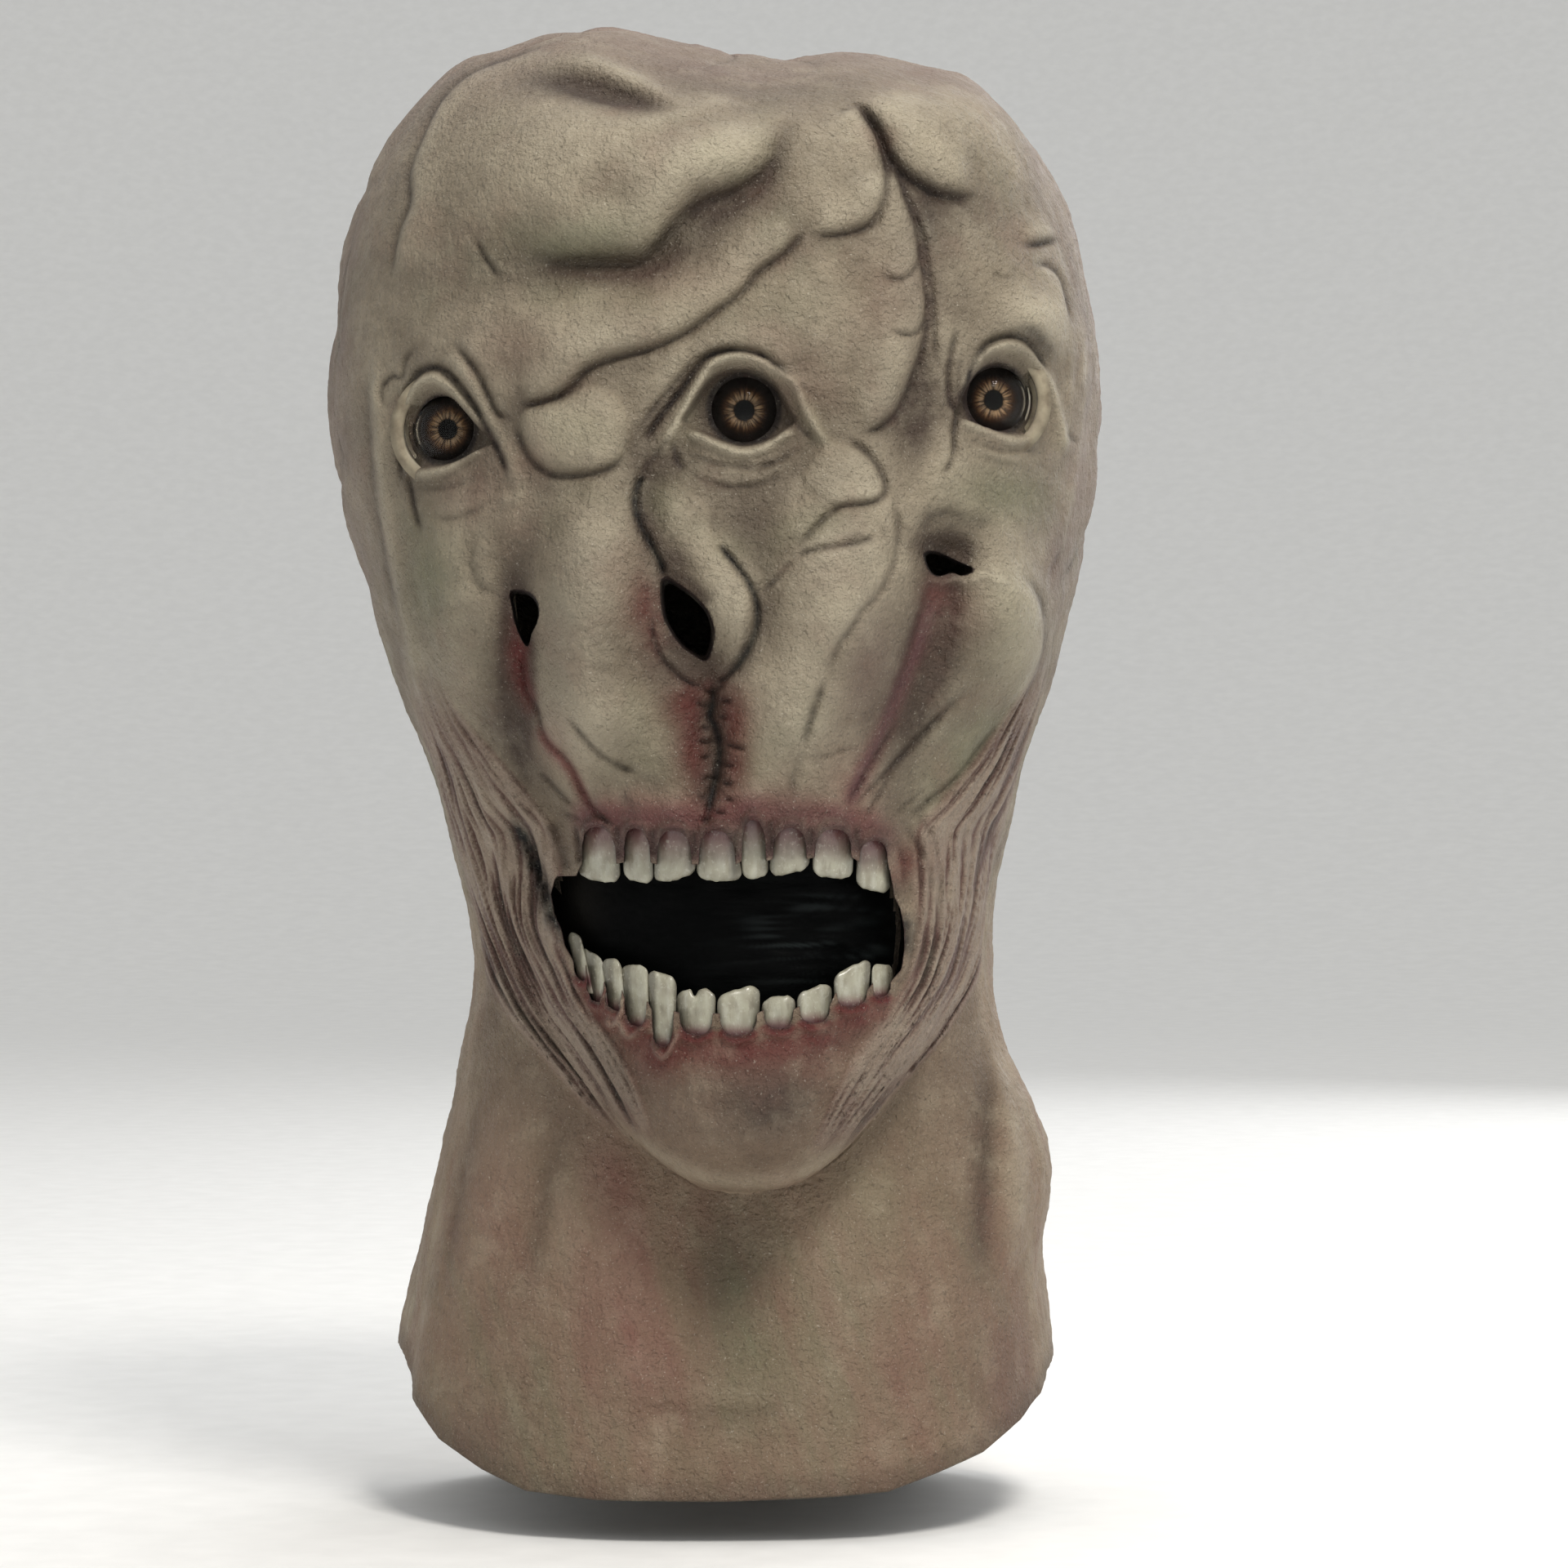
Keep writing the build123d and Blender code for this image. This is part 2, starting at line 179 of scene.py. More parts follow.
def monotone(x, xs, ys):
    """Cubic interpolation through (xs, ys) that never overshoots."""
    steps = np.diff(xs)
    slopes = np.diff(ys) / steps
    tangents = np.zeros(len(xs))
    tangents[0], tangents[-1] = slopes[0], slopes[-1]
    for i in range(1, len(xs) - 1):
        if slopes[i - 1] * slopes[i] > 0:
            a, b = 2 * steps[i] + steps[i - 1], steps[i] + 2 * steps[i - 1]
            tangents[i] = (a + b) / (a / slopes[i - 1] + b / slopes[i])
    x = np.clip(x, xs[0], xs[-1])
    i = np.clip(np.searchsorted(xs, x) - 1, 0, len(xs) - 2)
    h = steps[i]
    t = (x - xs[i]) / h
    u = 1.0 - t
    return ((1 + 2 * t) * u * u * ys[i] + t * u * u * h * tangents[i]
            + t * t * (3 - 2 * t) * ys[i + 1] - t * t * u * h * tangents[i + 1])


def smooth_path(points, closed=False, step=1.0):
    """Catmull-Rom curve through the points, cut into steps of about a millimetre."""
    p = np.array(points, float)
    if closed:
        p = np.vstack([p[-1], p, p[0], p[1]])
    else:
        p = np.vstack([2 * p[0] - p[1], p, 2 * p[-1] - p[-2]])
    out = []
    for a, b, c, d in zip(p, p[1:], p[2:], p[3:]):
        count = max(2, int(np.linalg.norm(c - b) / step) + 1)
        for t in np.arange(count) / count:
            out.append(0.5 * (2 * b + (c - a) * t + (2 * a - 5 * b + 4 * c - d) * t * t
                              + (3 * b - a - 3 * c + d) * t ** 3))
    if not closed:
        out.append(p[-2])
    return np.array(out)


def lattice(ix, iz, seed):
    """Repeatable pseudo-random unit gradients at whole-number places."""
    n = (ix * 374761393 + iz * 668265263 + seed * 974634777) & 0x7FFFFFFF
    n = ((n ^ (n >> 13)) * 1274126177) & 0x7FFFFFFF
    angle = ((n ^ (n >> 16)) & 0xFFFF) * (2 * math.pi / 65536)
    return np.cos(angle), np.sin(angle)


def noise(x, z, seed=0):
    """Gradient noise in the plane, about -1 to 1, features one unit apart."""
    ix, iz = np.floor(x).astype(np.int64), np.floor(z).astype(np.int64)
    fx, fz = x - ix, z - iz
    total = []
    for dx, dz in ((0, 0), (1, 0), (0, 1), (1, 1)):
        gx, gz = lattice(ix + dx, iz + dz, seed)
        total.append(gx * (fx - dx) + gz * (fz - dz))
    u = fx * fx * fx * (fx * (fx * 6 - 15) + 10)
    v = fz * fz * fz * (fz * (fz * 6 - 15) + 10)
    return 1.5 * mix(mix(total[0], total[1], u), mix(total[2], total[3], u), v)


def cloud(x, z, seed=0, octaves=4):
    """Several octaves of noise."""
    total, gain = 0.0, 1.0
    for i in range(octaves):
        total = total + gain * noise(x * 2 ** i, z * 2 ** i, seed + 31 * i)
        gain *= 0.5
    return total


# ---------------------------------------------------------------------------
# Flat fields: the relief and the paint masks are drawn as seen from the front
# ---------------------------------------------------------------------------
class Field:
    """Values on a flat grid in (x, z) as seen from the front."""

    def __init__(self, low=(-126.0, -6.0), high=(122.0, 446.0), step=GRID_STEP):
        self.low, self.step = low, step
        self.xs = np.arange(low[0], high[0], step)
        self.zs = np.arange(low[1], high[1], step)
        self.X, self.Z = np.meshgrid(self.xs, self.zs, indexing="ij")
        self.value = np.zeros(self.X.shape)

    def window(self, points, reach):
        """Part of the grid within reach of the points' box."""
        slices = []
        for axis, ticks in ((0, self.xs), (1, self.zs)):
            first = np.searchsorted(ticks, points[:, axis].min() - reach)
            last = np.searchsorted(ticks, points[:, axis].max() + reach)
            slices.append(slice(max(first, 0), max(last, first + 1)))
        return tuple(slices)

    def sample(self, x, z):
        return lookup(self.value, self.low, self.step, x, z)

    def blurred(self, sigma):
        """A copy smoothed by a Gaussian of sigma millimetres."""
        pad = int(4 * sigma / self.step)
        wide = np.pad(self.value, pad, mode="edge")
        fx = np.fft.fftfreq(wide.shape[0], self.step)[:, None]
        fz = np.fft.rfftfreq(wide.shape[1], self.step)[None, :]
        gain = np.exp(-2 * (math.pi * sigma) ** 2 * (fx ** 2 + fz ** 2))
        smooth = np.fft.irfft2(np.fft.rfft2(wide) * gain, s=wide.shape)
        return smooth[pad:-pad, pad:-pad]


def lookup(values, low, step, x, z):
    """Bilinear reading of a grid's values."""
    u = np.clip((x - low[0]) / step, 0, values.shape[0] - 1.001)
    v = np.clip((z - low[1]) / step, 0, values.shape[1] - 1.001)
    i, j = u.astype(int), v.astype(int)
    u, v = u - i, v - j
    return (values[i, j] * (1 - u) * (1 - v) + values[i + 1, j] * u * (1 - v)
            + values[i, j + 1] * (1 - u) * v + values[i + 1, j + 1] * u * v)


def nearest(path, X, Z, closed=False):
    """Distance to a path, the side of it (1 on the left of travel) and the length run so far."""
    best = np.full(X.shape, 1e9)
    side = np.zeros(X.shape)
    along = np.zeros(X.shape)
    ends = np.vstack([path[1:], path[:1]]) if closed else path[1:]
    run = 0.0
    for a, b in zip(path, ends):
        d = b - a
        length = math.hypot(*d)
        if length < 1e-9:
            continue
        rx, rz = X - a[0], Z - a[1]
        t = np.clip((rx * d[0] + rz * d[1]) / length ** 2, 0, 1)
        dist = np.hypot(rx - t * d[0], rz - t * d[1])
        closer = dist < best
        best = np.where(closer, dist, best)
        side = np.where(closer, np.sign(d[0] * rz - d[1] * rx), side)
        along = np.where(closer, run + t * length, along)
        run += length
    return best, side, along, run


def inside_distance(path, X, Z):
    """Distance to a closed path, positive inside it."""
    best = nearest(path, X, Z, closed=True)[0]
    crossings = np.zeros(X.shape, int)
    for (ax, az), (bx, bz) in zip(path, np.vstack([path[1:], path[:1]])):
        if az == bz:
            continue
        spans = (az > Z) != (bz > Z)
        crossings += spans & (X < ax + (Z - az) * (bx - ax) / (bz - az))
    return np.where(crossings % 2 == 1, best, -best)


# ---------------------------------------------------------------------------
# Sculpting tools
# ---------------------------------------------------------------------------
relief = Field()           # height of the skin's features above the plain head shape
# Layers of paint; the darker wash layer also carries painted shade in hollows and grooves, and the paler
# layer along ridge tops is painted highlight.
paint = {name: Field() for name in ("ink", "wash", "red", "pink", "plum", "khaki", "pale", "black")}


def ends_fade(along, length, taper):
    """1 in the middle of a stroke, down to 0 at both its ends."""
    taper = min(taper, 0.45 * length)
    return smoothstep(0, taper, along) * smoothstep(0, taper, length - along)


def crease(points, depth=1.2, width=0.9, left=0.0, right=0.0, spread=6.0, ink=0.5, ink_width=None,
           taper=6.0, closed=False):
    """Sharp groove; left and right are how far the skin swells beside it, over the spread."""
    path = smooth_path(points, closed)
    part = relief.window(path, 2.6 * spread + 3 * width)
    dist, side, along, length = nearest(path, relief.X[part], relief.Z[part], closed)
    fade = 1.0 if closed else ends_fade(along, length, taper)
    swell = np.where(side > 0, left, right)
    rise = 1 - np.exp(-dist / (0.35 * spread))
    relief.value[part] += fade * swell * rise * np.exp(-(dist / spread) ** 2)
    relief.value[part] -= fade * depth * np.exp(-(dist / width) ** 1.5)
    if ink > 0:
        line = 0.62 * (ink_width or width * 1.1)
        stroke(points, "black" if ink > 0.8 else "ink", min(1.2 * ink, 1.0), line, taper, closed)


def ridge(points, height, width, taper=6.0, closed=False):
    """Rounded raised line."""
    path = smooth_path(points, closed)
    part = relief.window(path, 3 * width)
    dist, _, along, length = nearest(path, relief.X[part], relief.Z[part], closed)
    fade = 1.0 if closed else ends_fade(along, length, taper)
    relief.value[part] += fade * height * np.exp(-(dist / width) ** 2)


def bump(x, z, across, up, height, tilt=0.0):
    """Soft oval hill, or a dent if the height is negative; tilt in degrees, anticlockwise."""
    a = math.radians(tilt)
    part = relief.window(np.array([[x, z]]), 2.6 * max(across, up))
    dx, dz = relief.X[part] - x, relief.Z[part] - z
    u = (dx * math.cos(a) + dz * math.sin(a)) / across
    v = (dz * math.cos(a) - dx * math.sin(a)) / up
    relief.value[part] += height * np.exp(-(u * u + v * v))


def pillow(points, height, edge):
    """Cushion inside a closed outline, steep at its rim."""
    path = smooth_path(points, closed=True)
    part = relief.window(path, 1.0)
    inside = np.clip(inside_distance(path, relief.X[part], relief.Z[part]) / edge, 0, 1)
    relief.value[part] += height * np.sqrt(1 - (1 - inside) ** 2)


def stroke(points, colour, strength, width, taper=6.0, closed=False):
    """Line of paint with soft edges."""
    field = paint[colour]
    path = smooth_path(points, closed)
    part = field.window(path, 3 * width)
    dist, _, along, length = nearest(path, field.X[part], field.Z[part], closed)
    fade = 1.0 if closed else ends_fade(along, length, taper)
    field.value[part] = np.maximum(field.value[part], strength * fade * np.exp(-(dist / width) ** 2))


def dab(colour, x, z, across, up, strength, tilt=0.0):
    """Soft oval patch of paint."""
    a = math.radians(tilt)
    field = paint[colour]
    part = field.window(np.array([[x, z]]), 2.6 * max(across, up))
    dx, dz = field.X[part] - x, field.Z[part] - z
    u = (dx * math.cos(a) + dz * math.sin(a)) / across
    v = (dz * math.cos(a) - dx * math.sin(a)) / up
    patch = strength * np.exp(-(u * u + v * v))
    field.value[part] = 1 - (1 - field.value[part]) * (1 - patch)


# ---------------------------------------------------------------------------
# The sculpture, region by region
# ---------------------------------------------------------------------------
def sculpt_masses():
    """Large forms: brow, three noses, cheeks, upper lip and chin."""
    bump(-42, 388, 34, 20, 5.0, tilt=4)
    bump(-2, 392, 20, 12, 2.5, tilt=25)
    bump(-46, 340, 34, 13, 2.5, tilt=4)
    bump(29, 386, 14, 20, 2.5)
    bump(66, 402, 22, 15, 3.5, tilt=-20)
    bump(30, 342, 24, 18, 3.0)
    bump(88, 346, 12, 9, 3.8, tilt=-10)
    bump(80, 362, 18, 10, 1.0)
    bump(-78, 314, 18, 15, -2.0)
    bump(6, 318, 20, 14, -1.5)
    bump(77, 323, 17, 15, -2.0)
    bump(-37, 264, 13, 28, 7.0, tilt=-6)
    bump(-33, 232, 15, 14, 4.5)
    bump(30, 268, 17, 26, 6.0, tilt=-16)
    bump(20, 234, 14, 18, 4.0)
    bump(80, 262, 10, 20, 5.5, tilt=10)
    bump(-76, 258, 11, 26, 3.0)
    bump(58, 252, 6, 28, -3.5, tilt=-16)
    bump(-57, 246, 5, 22, -3.0, tilt=4)
    bump(-3, 224, 5, 20, -3.2)
    bump(-3, 214, 34, 7, -1.0)
    bump(-60, 288, 8, 10, 1.0)
    bump(-18, 296, 6, 9, -2.0)
    bump(54, 318, 6, 22, -2.0)
    bump(63, 300, 14, 12, 1.5)
    bump(-10, 212, 30, 9, 1.5)
    bump(8, 122, 26, 12, 2.0)
    bump(4, 134, 30, 5, 1.0)


def sculpt_forehead():
    crease([(-60, 360.5), (-50, 359.5), (-40, 359.3), (-30, 359), (-22, 359), (-17, 363), (-12, 369),
            (-6, 375),
            (0, 377), (8, 381), (13, 386), (16, 392), (18, 400), (19, 404)],
           depth=2.2, width=3.0, left=5.0, right=0.6, spread=15, ink=0.24, ink_width=4.0, taper=24)
    crease([(-70, 369), (-68, 365), (-66, 361), (-61.5, 354.5)], depth=1.2, width=0.8, left=0.5, right=0.4,
           spread=3, ink=0.55, taper=5)
    bump(-34, 409, 19, 4.6, -3.2, tilt=-14)
    ridge([(-52, 420), (-45, 419.5), (-30, 416), (-15, 408.5), (-8, 404)], 1.8, 3.2, taper=14)
    ridge([(-28, 394), (-18, 399), (-10, 402.5), (0, 407.5), (8, 412)], 1.6, 3.4, taper=12)
    crease([(-57, 320), (-50, 320.5), (-43, 323), (-37, 329), (-30, 332), (-20, 334.5), (-10, 339),
            (-3, 344),
            (5, 350), (10, 356), (17, 361), (23, 368)],
           depth=1.7, width=1.1, left=3.2, right=0.9, spread=10, ink=0.36, ink_width=1.5, taper=5)
    crease([(23.5, 366), (28, 366.2), (35, 367.2), (41, 370), (44.5, 376), (45.5, 384), (45, 390), (43, 397),
            (39, 405), (36, 409)],
           depth=1.6, width=1.2, left=2.6, right=0.6, spread=8, ink=0.42, ink_width=1.8, taper=6)
    crease([(36, 409), (39, 404.5), (43, 397), (46, 390), (49, 386), (54, 382.5), (60, 380), (67, 379.5),
            (73, 380.5)],
           depth=2.4, width=1.6, left=4.2, right=0.4, spread=13, ink=0.55, ink_width=2.6, taper=9)
    crease([(30, 403.5), (34, 404.5), (38, 406)], depth=0.7, width=0.8, left=0.3, right=0.5, spread=3,
           ink=0.3)
    crease([(48, 388), (50, 381), (54, 370), (55, 362), (56.5, 352), (57, 345), (55.4, 335), (53, 327),
            (50, 320),
            (47, 316), (43, 313), (37, 311)],
           depth=1.7, width=1.0, left=0.4, right=3.4, spread=10, ink=0.42, ink_width=1.5, taper=6)
    crease([(53, 378), (56, 366), (58, 353), (58.8, 345), (59, 338), (60.5, 330)],
           depth=1.0, width=0.9, left=0.9, right=0.4, spread=4, ink=0.4, taper=8)
    crease([(42.5, 355.5), (48, 354.4), (51.5, 356), (54, 360), (54.6, 366)],
           depth=1.0, width=0.8, left=1.3, right=0.3, spread=4.5, ink=0.45, taper=4)
    crease([(45, 340.6), (50, 339), (54, 340.2), (56, 345), (57, 352)],
           depth=1.0, width=0.8, left=1.3, right=0.3, spread=4.5, ink=0.45, taper=4)
    crease([(83, 367.5), (88, 368.4), (93, 370.5), (98, 373)], depth=2.2, width=1.1, left=2.8, right=0.8,
           spread=6,
           ink=0.5)
    crease([(86, 361.5), (92, 363), (96.5, 360), (98, 353), (99, 345)], depth=1.8, width=1.1, right=1.8,
           spread=5,
           ink=0.45)
    crease([(74, 358.5), (78, 357.5), (82, 357.6)], depth=0.5, width=0.7, ink=0.35, taper=3)


def sculpt_head_side():
    """Step where the face's thick skin ends against the side of the head."""
    crease([(-95, 356), (-94.5, 364), (-92.5, 373), (-89.5, 380), (-90, 390), (-87.5, 398), (-84, 407),
            (-79, 414), (-70, 420.5), (-60, 424), (-48, 426.5)],
           depth=1.3, width=1.3, right=2.0, spread=6, ink=0.35, ink_width=2.0, taper=12)
    ridge([(-99.5, 344), (-99.5, 325), (-97.5, 300), (-93.5, 275), (-89, 255), (-86, 235)], 1.6, 2.2,
          taper=18)
    crease([(-102, 338), (-102.5, 322), (-100.5, 298), (-96.5, 274), (-92, 254)],
           depth=0.9, width=1.8, left=0.3, right=0.3, spread=5, ink=0.18, taper=20)
    ridge([(101, 352), (103.5, 335), (103.5, 318), (101, 300), (98, 285)], 1.0, 1.6, taper=12)
    ridge([(98.5, 345), (99.5, 330), (99.5, 318)], 0.8, 1.2, taper=8)


def sculpt_left_eye():
    crease([(-92, 300), (-92.6, 310), (-92, 318), (-90, 326), (-86, 330.8), (-80.5, 331.8), (-75, 328),
            (-70, 321),
            (-66, 313.5), (-62, 306), (-59.5, 299)],
           depth=2.2, width=1.0, left=0.6, right=0.6, spread=5, ink=0.80, ink_width=1.3, taper=6)
    ridge([(-88, 303), (-91, 308), (-91, 319), (-87.5, 326), (-82, 328.6), (-76.5, 325.5), (-71, 319),
           (-66, 313)], 2.6, 1.4, taper=5)
    ridge([(-89, 302.3), (-84, 302.2), (-78, 303), (-72, 306), (-66.5, 309)], 2.2, 1.4, taper=4)
    crease([(-88, 298.5), (-80, 297.5), (-72, 299), (-65, 301.5)], depth=0.6, width=1.2, left=0.4, right=0.7,
           spread=4, ink=0.16, taper=8)
    crease([(-84, 290.5), (-76, 289), (-69, 291), (-62, 295)], depth=0.7, width=1.4, left=0.9, right=0.2,
           spread=5, ink=0.2, taper=10)
    crease([(-90.5, 303.5), (-88.8, 297), (-87.4, 291), (-85, 285.5)], depth=1.5, width=1.0, left=0.5,
           right=0.7,
           spread=4, ink=0.6, ink_width=1.3, taper=4)
    crease([(-97, 321), (-98, 326), (-96.5, 329), (-94, 330.5), (-91.5, 330), (-90.5, 334), (-88.5, 336.5),
            (-86.5, 336)], depth=1.3, width=0.9, left=0.7, right=0.3, spread=3, ink=0.45, taper=4)
    crease([(-76, 338.5), (-72, 334.5), (-68, 329), (-65.5, 323), (-63, 318), (-58.5, 315.5)],
           depth=1.3, width=1.0, left=1.8, right=0.8, spread=5, ink=0.5, ink_width=1.4, taper=6)
    ridge([(-79, 336), (-73, 330), (-68.5, 322), (-64.5, 314), (-60.5, 306), (-57, 299), (-55.5, 294)], 1.7,
          2.3,
          taper=9)
    ridge([(-63, 296), (-59.5, 293.4), (-56, 294.5), (-55, 298)], 0.9, 1.6, taper=4)
    crease([(-87.7, 317), (-87.9, 311), (-87.4, 305)], depth=0.6, width=0.7, ink=0.35, taper=3)


def sculpt_center_eye():
    crease([(-22, 308), (-19, 313.5), (-15, 319), (-11, 324), (-7.5, 329), (-4, 332.6), (2, 334.3),
            (10, 333.2),
            (15, 330), (20, 326.6)],
           depth=2.2, width=1.0, left=1.4, right=0.5, spread=6, ink=0.80, ink_width=1.3, taper=6)
    crease([(-24, 311), (-20, 317), (-15, 323), (-10, 329), (-6, 334)],
           depth=0.9, width=0.9, left=1.6, right=0.3, spread=6, ink=0.42, taper=8)
    ridge([(-18, 304), (-15, 310), (-11.5, 316), (-7.4, 323.5), (-2.5, 330.3), (4, 332.4), (10, 331.3),
           (16, 328), (20, 324.5), (23, 318), (27, 311), (31, 306)], 3.0, 1.5, taper=8)
    ridge([(-11, 312), (-5, 309.8), (0.5, 307.4), (6, 306), (12, 307.5), (17, 310.8), (21, 312.5)], 2.6, 1.5,
          taper=4)
    crease([(-11, 306.5), (-5, 304), (1, 302.4), (10, 302), (17, 304.4), (22, 308)],
           depth=0.9, width=0.9, left=0.6, right=0.9, spread=3.2, ink=0.28, ink_width=1.4, taper=7)
    crease([(-10, 301), (-5, 298.2), (1, 296.6), (9, 296.8), (15, 299), (20, 302)],
           depth=0.7, width=0.9, left=0.9, right=0.4, spread=3.4, ink=0.22, ink_width=1.4, taper=8)
    crease([(-14, 310), (-13, 305.5), (-11.4, 302), (-9.5, 303.5)], depth=1.2, width=1.1, ink=0.55, taper=3)
    crease([(-24.5, 298), (-20, 303.5), (-16, 308.5), (-12.5, 313)], depth=0.7, width=0.9, left=0.5,
           right=0.4,
           spread=3, ink=0.3, taper=5)
    crease([(19, 317.5), (21.5, 313), (26, 309.8)], depth=0.7, width=0.9, left=0.6, right=0.2, spread=3,
           ink=0.3, taper=3)
    crease([(21, 326), (24, 323), (27, 321)], depth=0.4, width=0.6, ink=0.4, taper=2)
    for start, end in (((-10, 294), (-7, 288)), ((-5, 292), (-9, 286)), ((1, 288), (-3, 283))):
        crease([start, end], depth=0.35, width=0.6, ink=0.14, taper=2)


def sculpt_right_eye():
    crease([(65.5, 319), (68.5, 326), (70.5, 333), (74.5, 338.2), (80, 340.8), (85, 339.8), (89.5, 335.6),
            (93, 330.6)],
           depth=2.2, width=1.1, left=1.2, right=0.5, spread=5, ink=0.78, ink_width=1.4, taper=6)
    ridge([(67, 322), (69.2, 329.5), (72.5, 335), (77, 337.6), (82.5, 337.6), (88, 334.4), (92.5, 329.4),
           (95.3, 322), (97.3, 314), (98.4, 308)], 2.6, 1.5, taper=6)
    ridge([(65.5, 316.5), (70, 315.2), (75, 313.6), (80, 312), (85.5, 312), (90.5, 314.6)], 2.2, 1.4,
          taper=4)
    crease([(68, 311.5), (74, 309.5), (80, 308.4), (88, 309.6)], depth=0.8, width=1.0, left=0.4, right=0.9,
           spread=4, ink=0.25, taper=7)
    crease([(70, 307), (78, 305), (87, 305)], depth=0.6, width=1.2, left=0.9, spread=4, ink=0.18, taper=8)
    crease([(65.5, 343), (64, 335.5), (63.3, 328), (64, 322), (65.8, 318.4), (64.8, 313), (64.6, 308),
            (62.6, 303), (60, 299.5)],
           depth=1.5, width=1.0, left=0.5, right=1.0, spread=4, ink=0.55, ink_width=1.1, taper=5)
    crease([(67.5, 336), (66, 329), (66.6, 322)], depth=0.6, width=0.7, ink=0.3, taper=4)
    crease([(86, 330), (87.4, 325), (87, 319.5), (85.4, 316)], depth=0.9, width=0.7, left=0.6, spread=2,
           ink=0.5, taper=3)
    crease([(88, 331), (90, 325.5), (89.8, 320), (88.4, 316.5)], depth=0.7, width=0.7, left=0.5, spread=2,
           ink=0.45, taper=3)
    crease([(80, 343), (86, 342), (91, 337.5), (95, 333.5)], depth=0.9, width=1.8, left=1.2, spread=5,
           ink=0.4, ink_width=3.0, taper=6)
    crease([(97.5, 316), (101, 314), (103, 313)], depth=0.8, width=0.9, left=0.4, right=0.4, spread=3,
           ink=0.3)


